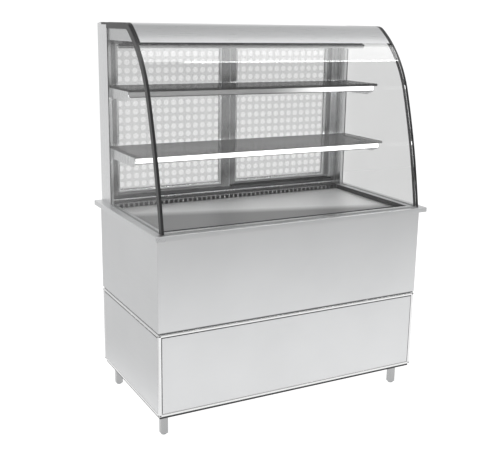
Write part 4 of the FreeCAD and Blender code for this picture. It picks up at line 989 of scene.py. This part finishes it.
class CASE_OT_doors(bpy.types.Operator):
    """Crowned mouldings, glazing beads, a pale meeting strip that paints the highlight on the meeting edge,
    and pull rims of the sliding doors
    """

    bl_idname = "displaycase.doors"
    bl_label = "Door fittings"

    def execute(self, context):
        sizes = settings("case_fittings")
        for side in ("left", "right"):
            self.mouldings(side, sizes)
            self.glazing_bead(side, sizes)
            self.pull_rim(side, sizes)
        self.meeting_highlight_strip(sizes)
        return {"FINISHED"}

    def free_height(self, sizes):
        """Bottom and top of a door's face between the sill and the head rail."""
        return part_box("sill_track")[1].z + sizes.running_gap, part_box("head_rail")[0].z - sizes.running_gap

    def upright(self, x0, x1, y, heights, rise):
        """A crowned strip on a face that looks towards the customer."""
        bottom, top = heights
        return bar(domed(x1 - x0, rise), (x0, y, bottom), (x0, y, top), RIGHTWARD, FRONTWARD)

    def mouldings(self, side, sizes):
        """A crowned strip on each stile and rail of the customer's face, pale on the outer stile's edge."""
        low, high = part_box("door_%s_frame" % side)
        pane_low, pane_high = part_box("door_%s_pane" % side)
        heights = self.free_height(sizes)
        edge, rise, wide = sizes.moulding_edge, sizes.moulding_rise, sizes.outer_strip
        if side == "left":
            pale = (low.x, low.x + wide)
            stiles = ((low.x + wide, pane_low.x), (pane_high.x, high.x))
        else:
            pale = (high.x - wide, high.x)
            stiles = ((low.x, pane_low.x), (pane_high.x, high.x - wide))
        strip = self.upright(pale[0] + edge, pale[1], low.y, heights, rise)
        new_piece("door_edge_" + side, [strip], "door_" + side, "pale anodised")
        strips = [self.upright(x0 + edge, x1 - edge, low.y, heights, rise) for x0, x1 in stiles]
        x0, x1 = pane_low.x - edge, pane_high.x + edge
        for bottom, top in ((heights[0], pane_low.z), (pane_high.z, heights[1])):
            section = domed(top - bottom, rise)
            strips.append(bar(section, (x0, low.y, bottom), (x1, low.y, bottom), UPWARD, FRONTWARD))
        new_piece("door_moulding_" + side, strips, "door_" + side, "dark anodised")

    def glazing_bead(self, side, sizes):
        """Quarter-round bead round a pane, on both faces: loops of (inset, depth)."""
        low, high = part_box("door_%s_pane" % side)
        frame_low, frame_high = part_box("door_%s_frame" % side)
        beads = []
        for face, outer in ((low.y, frame_low.y), (high.y, frame_high.y)):
            curve = quarter(1.0, 0) * (sizes.bead_width, (outer - face) * sizes.bead_share)
            section = np.concatenate([curve, [[0.0, 0.0]]])
            loops = inset_loops((low.x, high.x, low.z, high.z), LEAST_CORNER, section)
            beads.append(loft("bead", stood_up(loops, face), closed=True))
        new_piece("glazing_bead_" + side, beads, "door_" + side, "pale anodised")

    def pull_rim(self, side, sizes):
        """Thin raised rim round the finger pull on the staff face: loops of (inset, height)."""
        (x0, _, z0), (x1, _, z1) = opening(side + "_door_pull")
        width = sizes.rim_width
        outline = (x0 - width, x1 + width, z0 - width, z1 + width)
        loops = inset_loops(outline, sizes.rim_corner, np.array(RIM_SECTION) * (width, sizes.rim_rise))
        rim = loft("rim", stood_up(loops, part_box("door_%s_frame" % side)[1].y), closed=True)
        new_piece("pull_rim_" + side, [rim], "door_" + side, "pale anodised")

    def meeting_highlight_strip(self, sizes):
        """Pale strip on the left door's meeting edge, a painted highlight along that edge."""
        low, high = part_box("door_left_frame")
        rise = sizes.moulding_rise * MEETING_HIGHLIGHT_RISE
        strip = self.upright(high.x - sizes.highlight_strip_width, high.x, low.y, self.free_height(sizes), rise)
        new_piece("meeting_highlight_strip", [strip], "door_left", "pale anodised")


class CASE_OT_lamps(bpy.types.Operator):
    """Lamp profiles under the ceiling and the shelves: a metal rail with an opal lens"""

    bl_idname = "displaycase.lamps"
    bl_label = "Lamps"

    def execute(self, context):
        sizes, looks = settings("case_fittings"), settings("glass_looks")
        lit_plastic("bright lens", looks.bright_lamp, looks.bright_lamp)
        lit_plastic("fading lens", looks.dim_lamp, looks.bright_lamp)
        lit_plastic("work light", looks.work_lamp, looks.work_lamp)
        lit_plastic("ceiling lens", 0.0, looks.dim_lamp)
        self.shelf_lamps(sizes)
        self.ceiling_lamp()
        return {"FINISHED"}

    def shelf_lamps(self, sizes):
        """A rail under each shelf's front edge, with a lens in front and a window that lights the deck."""
        span_low, span_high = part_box("shelf_lamps")
        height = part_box("shelf_lower")[0].z - span_low.z
        rails, windows = [], []
        for name, lens in (("lower", "bright lens"), ("middle", "fading lens")):
            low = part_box("shelf_" + name)[0]
            start = (span_low.x, low.y + sizes.lamp_setback, low.z - height)
            end = (span_high.x - sizes.lamp_end_gap, *start[1:])
            rails.append(bar(self.rail_section(sizes, height), start, end, REARWARD, UPWARD))
            windows.append(bar(self.window_section(sizes), start, end, REARWARD, UPWARD))
            front = bar(self.lens_section(sizes, height), start, end, REARWARD, UPWARD)
            new_piece("lamp_lens_" + name, [front], CASE, lens)
        piece = new_piece("shelf_lamp_rails", rails, CASE, "deep anodised")
        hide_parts("shelf_lamps")
        new_piece("shelf_lamp_windows", windows, CASE, "work light")

    def rail_section(self, sizes, height):
        """A channel: lower lip in front, back behind the lens, lower rear corner cut off."""
        lip, depth, lens = sizes.lamp_lip, sizes.lamp_depth, sizes.lens_depth
        front = lip * LIP_SETBACK
        return np.array([(front, 0), (depth * CUT_START, 0), (depth, depth * CUT_TOP), (depth, height),
                         (lens, height), (lens, lip), (front, lip)])

    def window_section(self, sizes):
        """A thin window on the cut corner, one skin outside it."""
        skin = sizes.window_skin
        low = sizes.lamp_depth * np.array((CUT_START + CUT_EDGE, CUT_EDGE))
        high = sizes.lamp_depth * np.array((1 - CUT_EDGE, CUT_TOP - CUT_EDGE))
        out = np.array((skin, -skin))
        return np.array([low, low + out, high + out, high])

    def lens_section(self, sizes, height):
        """A crowned front: u = crown * (1 - sin(pi * t)), v rises from the lip to the top."""
        t = np.linspace(0.0, 1.0, 9)
        crown = sizes.lens_crown * (1 - np.sin(math.pi * t))
        front = np.column_stack([crown, sizes.lamp_lip + t * (height - sizes.lamp_lip)])
        back = [(sizes.lens_depth, height), (sizes.lens_depth, sizes.lamp_lip)]
        return np.concatenate([front, back])

    def ceiling_lamp(self):
        """A housing over a half-round lens that looks down: v = -drop * sqrt(sin(pi * t))."""
        low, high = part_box("ceiling_lamp")
        middle = (low.z + high.z) / 2
        depth = high.y - low.y
        start, end = (low.x, low.y, middle), (high.x, low.y, middle)
        housing = np.array([(0, 0), (depth, 0), (depth, high.z - middle), (0, high.z - middle)])
        t = np.linspace(0.0, 1.0, 11)
        lens = np.column_stack([depth * t, (low.z - middle) * np.sin(math.pi * t) ** 0.5])
        top = bar(housing, start, end, REARWARD, UPWARD)
        piece = new_piece("ceiling_lamp_rail", [top], CASE, "deep anodised")
        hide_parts("ceiling_lamp")
        cover = bar(lens, start, end, REARWARD, UPWARD)
        new_piece("ceiling_lamp_lens", [cover], CASE, "ceiling lens")


class CASE_OT_canopy(bpy.types.Operator):
    """Black end strips over the canopy's fascia"""

    bl_idname = "displaycase.canopy"
    bl_label = "Canopy ends"

    def execute(self, context):
        """A thin band carried over the fascia: two arcs (centre - r cos, centre + r sin) and the flat top."""
        sizes = settings("case_fittings")
        low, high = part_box("canopy")
        centre, radius, brow_radius = np.array(sizes.fascia_centre), sizes.fascia_radius, sizes.brow_radius
        first = math.asin((low.z - centre[1]) / radius)
        slow = self.outward(np.linspace(first, sizes.brow_angle, 8))
        quick = self.outward(np.linspace(sizes.brow_angle, math.pi / 2, 10)[1:])
        brow = centre + (radius - brow_radius) * slow[-1]
        rear = [[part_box("side_glass_left")[1].y, high.z]]
        points = np.concatenate([centre + radius * slow, brow + brow_radius * quick, rear])
        ways = np.concatenate([slow, quick, quick[-1:]])
        wide, skin = sizes.end_strip, sizes.end_skin
        for side, x0, x1 in (("left", low.x, low.x + wide), ("right", high.x - wide, high.x)):
            loops = [self.section(point, way, x0, x1, skin) for point, way in zip(points, ways)]
            new_piece("canopy_end_" + side, [loft("strip", loops)], CASE, "satin black")
        return {"FINISHED"}

    def outward(self, angles):
        """Directions in Y and Z that lean back from the customer's side."""
        return np.column_stack([-np.cos(angles), np.sin(angles)])

    def section(self, point, way, x0, x1, skin):
        """Four corners of the band at one point of its path, half a skin inside and one outside."""
        inner, outer = point - way * skin / 2, point + way * skin
        return np.array([(x0, *inner), (x0, *outer), (x1, *outer), (x1, *inner)])


class CASE_OT_rear(bpy.types.Operator):
    """Louvre hoods, panel screws and control window on the staff side"""

    bl_idname = "displaycase.rear"
    bl_label = "Staff side"

    def execute(self, context):
        sizes = settings("case_fittings")
        self.hoods(sizes)
        self.screws(sizes)
        self.control_window(sizes)
        return {"FINISHED"}

    def hoods(self, sizes):
        """A pressed hood over each louvre slot: y = depth * sin(pi * v / 2) * (1 - |2u - 1| ** 8)."""
        low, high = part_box("lower_rear_grille")
        gland_low, gland_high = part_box("electrical_box")
        gland = (gland_low + gland_high) / 2
        margin, wide, drop = sizes.louvre_margin, sizes.louvre_length, sizes.louvre_width
        columns = int((high.x - low.x - 2 * margin - wide) // sizes.louvre_pitch_x) + 1
        rows = int((high.z - low.z - 2 * margin) // sizes.louvre_pitch_z) + 1
        u, v = np.meshgrid(np.linspace(0, 1, 9), np.linspace(0, 1, 5))
        out = high.y + sizes.hood_depth * np.sin(math.pi * v / 2) * (1 - np.abs(2 * u - 1) ** 8)
        meshes = []
        for column in range(columns):
            x = (column - (columns - 1) / 2) * sizes.louvre_pitch_x
            for row in range(rows):
                z = high.z - margin - row * sizes.louvre_pitch_z
                beside = abs(x - gland.x) < wide / 2 + sizes.gland_keep_out
                if beside and z - drop < gland.z + sizes.gland_keep_out:
                    continue
                down = z + sizes.hood_lap - v * (drop + sizes.hood_lap)
                outer = np.stack([x + (u - 0.5) * wide, out, down], -1)
                inner = outer - (0, sizes.hood_skin, 0)
                meshes.append(self.two_skins(np.stack([outer, inner]).reshape(2, -1, 3), u.shape))
        new_piece("louvre_hoods", meshes, CASE, "satin panel")

    def two_skins(self, skins, shape):
        """Two grids of points, one behind the other, with their rims joined."""
        rows, columns = shape
        count = rows * columns
        front = grid_faces(rows, columns, False, False)
        order = np.arange(count).reshape(shape)
        rim = np.concatenate([order[0, :-1], order[:-1, -1], order[-1, :0:-1], order[:0:-1, 0]])
        after = np.roll(rim, -1)
        sides = np.stack([rim, after, after + count, rim + count], -1)
        return shell("hood", skins, np.concatenate([front, front + count, sides]).tolist())

    def screws(self, sizes):
        """Domed heads with a driver recess, in rows on the rear panels: a profile (r, h) turned about Y."""
        radius, rise, inset = sizes.screw_radius, sizes.screw_height, sizes.screw_inset
        t = np.linspace(0.0, 1.0, 5) * SCREW_DOME
        dome = np.column_stack([radius * np.cos(t), rise * np.sin(t) / math.sin(SCREW_DOME)])
        recess = np.array(SCREW_RECESS) * (radius, rise)
        profile = np.concatenate([[[radius, -SCREW_SINK]], dome, recess])[:, :, None]
        turn = np.linspace(0.0, 2 * math.pi, 12, endpoint=False)
        heads = []
        for panel in ("upper_rear_panel", "lower_rear_grille"):
            low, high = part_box(panel)
            for z in (low.z + inset, high.z - inset):
                for x in np.linspace(low.x + inset, high.x - inset, sizes.screw_columns):
                    loops = np.stack([
                        x + profile[:, 0] * np.cos(turn), high.y + profile[:, 1] + 0 * turn,
                        z + profile[:, 0] * np.sin(turn)], -1)
                    heads.append(loft("screw", loops))
        new_piece("panel_screws", heads, CASE, "polished tube")

    def control_window(self, sizes):
        """A dark window in the control housing's recess and a thin bezel round it."""
        low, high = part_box("control_housing")
        x = low.x + sizes.window_place
        z = (low.z + high.z) / 2
        wide, tall, edge = sizes.window_width / 2, sizes.window_height / 2, sizes.rim_width
        window = (x - wide, x + wide, z - tall, z + tall)
        pane = stood_up(inset_loops(window, WINDOW_CORNER, WINDOW_SECTION), high.y)
        new_piece("control_window", [loft("window", pane)], CASE, "display window")
        outline = (x - wide - edge, x + wide + edge, z - tall - edge, z + tall + edge)
        section = np.array(BEZEL_SECTION) * (edge, sizes.bezel_rise)
        ring = stood_up(inset_loops(outline, BEZEL_CORNER, section), high.y)
        bezel = loft("bezel", ring, closed=True)
        new_piece("control_bezel", [bezel], CASE, "control keys")


class CASE_OT_seals(bpy.types.Operator):
    """Sealant at the foot of the glass, dark well lining that paints the shade on the well's walls, seam and
    sill beads, trim tails and shelf hooks
    """

    bl_idname = "displaycase.seals"
    bl_label = "Seals and hooks"

    def execute(self, context):
        sizes = settings("case_fittings")
        self.glass_seals(sizes)
        self.well_shade_lining(sizes)
        self.seam_bead(sizes)
        self.sill_strips(sizes)
        self.trim_tails(sizes)
        self.shelf_hooks(sizes)
        return {"FINISHED"}

    def glass_seals(self, sizes):
        """Quarter-round beads where the glass meets the counter, outside and inside."""
        section = np.concatenate([[[0.0, 0.0]], quarter(sizes.seal_radius, 0)])
        low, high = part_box("front_glass")
        z = low.z
        beads = []
        for y, way in ((low.y, FRONTWARD), (low.y + sizes.glass_thickness, REARWARD)):
            beads.append(bar(section, (low.x, y, z), (high.x, y, z), way, UPWARD))
        for side, ways in (("left", (LEFTWARD, RIGHTWARD)), ("right", (RIGHTWARD, LEFTWARD))):
            low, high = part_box("side_glass_" + side)
            front = low.y + sizes.trim_reach
            for way in ways:
                x = low.x if way == LEFTWARD else high.x
                beads.append(bar(section, (x, front, z), (x, high.y, z), way, UPWARD))
        new_piece("glass_seals", beads, CASE, "grey sealant")

    def well_shade_lining(self, sizes):
        """Thin dark strips inside the well's rim, the rear one behind the slotted air strip: painted shade on
        the upper part of the well's walls.
        """
        low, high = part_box("well_liner")
        wall = settings("case_steel").liner_wall
        x0, x1, y0, y1 = low.x + wall, high.x - wall, low.y + wall, high.y - wall
        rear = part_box("rear_air_grille")[0].y
        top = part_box("counter_top")[1].z - sizes.shade_lining_drop
        thick, deep = sizes.shade_lining_thickness, sizes.shade_lining_height
        lower = top - 2 * thick
        section = np.array([(0, 0), (thick, 0), (thick, -deep), (0, -deep)])
        strips = [
            bar(section, (x0, y0, top), (x0, rear, top), RIGHTWARD, UPWARD),
            bar(section, (x1, y0, top), (x1, rear, top), LEFTWARD, UPWARD),
            bar(section, (x0 + thick, y0, top), (x1 - thick, y0, top), REARWARD, UPWARD),
            bar(section, (x0 + thick, y1, lower), (x1 - thick, y1, lower), FRONTWARD, UPWARD),
        ]
        # Black strips that paint the shade inside the well's rim
        new_piece("well_shade_lining", strips, CASE, "satin black")

    def seam_bead(self, sizes):
        """Polished bead in the seam round the body, a crowned strip whose rise lessens the seam's depth."""
        low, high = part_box("lower_frame")
        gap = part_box("upper_front_panel")[0].z - high.z
        strip = domed(gap, sizes.seam_crown, SEAM_SHARE, steps=7)
        section = np.column_stack([sizes.seam_recess - strip[:, 1], high.z + strip[:, 0]])
        loops = inset_loops((low.x, high.x, low.y, high.y), settings("case_steel").frame_corner, section)
        bead = loft("bead", loops, closed=True)
        new_piece("seam_bead", [bead], CASE, "leg tube")

    def sill_strips(self, sizes):
        """Pale bead along the foot of the door sill and a black strip from it to the well's edge."""
        low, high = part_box("sill_track")
        z, rise = low.z, sizes.moulding_rise
        foot = bar(domed(sizes.sill_bead, rise), (low.x, low.y, z), (high.x, low.y, z), UPWARD, FRONTWARD)
        new_piece("sill_bead", [foot], CASE, "pale anodised")
        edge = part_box("rear_air_grille")[0].y
        section = domed(low.y - rise - edge, sizes.ledge_rise, LEDGE_SHARE)
        cover = bar(section, (low.x, edge, z), (high.x, edge, z), REARWARD, UPWARD)
        new_piece("ledge_strip", [cover], CASE, "satin black")

    def trim_tails(self, sizes):
        """Black side strips under the tail of each edge trim, on the post's outer face."""
        low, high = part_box("edge_trim_left")
        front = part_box("side_glass_left")[1].y
        post_low, post_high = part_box("rear_posts")
        section = domed(sizes.tail_height, abs(low.x - post_low.x))
        z = post_high.z - sizes.tail_height
        tails = [bar(section, (x, front, z), (x, high.y, z), UPWARD, way)
                 for x, way in ((post_low.x, LEFTWARD), (post_high.x, RIGHTWARD))]
        new_piece("trim_tails", tails, CASE, "satin black")

    def shelf_hooks(self, sizes):
        """A small half-round hook on each post under each bracket: a band between two half circles."""
        turn = np.linspace(0.0, math.pi, 9)
        arc = np.column_stack([np.cos(turn), -np.sin(turn)])
        radius, band, post = sizes.hook_radius, sizes.hook_band, sizes.post_width
        section = np.concatenate([arc * radius, arc[::-1] * (radius - band)])
        low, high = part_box("rear_posts")
        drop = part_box("shelf_lower")[0].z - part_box("shelf_brackets")[0].z + sizes.hook_drop
        reach = radius - band / 2
        y = low.y + sizes.hook_place
        hooks = []
        for shelf in ("shelf_lower", "shelf_middle"):
            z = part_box(shelf)[0].z - drop
            for x, way in ((low.x + post + reach, RIGHTWARD), (high.x - post - reach, LEFTWARD)):
                hooks.append(bar(section, (x, y, z), (x, y + sizes.hook_width, z), way, UPWARD))
        new_piece("shelf_hooks", hooks, CASE, "polished tube")


class CASE_PT_panel(bpy.types.Panel):
    """Sidebar list of the case's operators"""

    bl_idname = "CASE_PT_panel"
    bl_label = "Display case"
    bl_space_type = "VIEW_3D"
    bl_region_type = "UI"
    bl_category = "Display case"

    def draw(self, context):
        for operator in OPERATORS:
            self.layout.operator(operator.bl_idname)


SETTINGS = {
    "case_studio": StudioSettings,
    "case_steel": SteelSettings,
    "glass_looks": GlassSettings,
    "case_fittings": FittingSettings,
}
OPERATORS = (CASE_OT_stage, CASE_OT_finishes, CASE_OT_counter, CASE_OT_frame, CASE_OT_doors, CASE_OT_lamps,
             CASE_OT_canopy, CASE_OT_rear, CASE_OT_seals)


def register():
    for group in SETTINGS.values():
        bpy.utils.register_class(group)
    for name, group in SETTINGS.items():
        setattr(bpy.types.Scene, name, bpy.props.PointerProperty(type=group))
    for kind in (*OPERATORS, CASE_PT_panel):
        bpy.utils.register_class(kind)


def unregister():
    for kind in reversed((*OPERATORS, CASE_PT_panel)):
        bpy.utils.unregister_class(kind)
    for name, group in SETTINGS.items():
        delattr(bpy.types.Scene, name)
        bpy.utils.unregister_class(group)


def main():
    register()
    bpy.ops.displaycase.stage()
    bpy.ops.displaycase.finishes()
    bpy.ops.displaycase.counter()
    bpy.ops.displaycase.frame()
    bpy.ops.displaycase.doors()
    bpy.ops.displaycase.lamps()
    bpy.ops.displaycase.canopy()
    bpy.ops.displaycase.rear()
    bpy.ops.displaycase.seals()


if __name__ == "__main__":
    main()
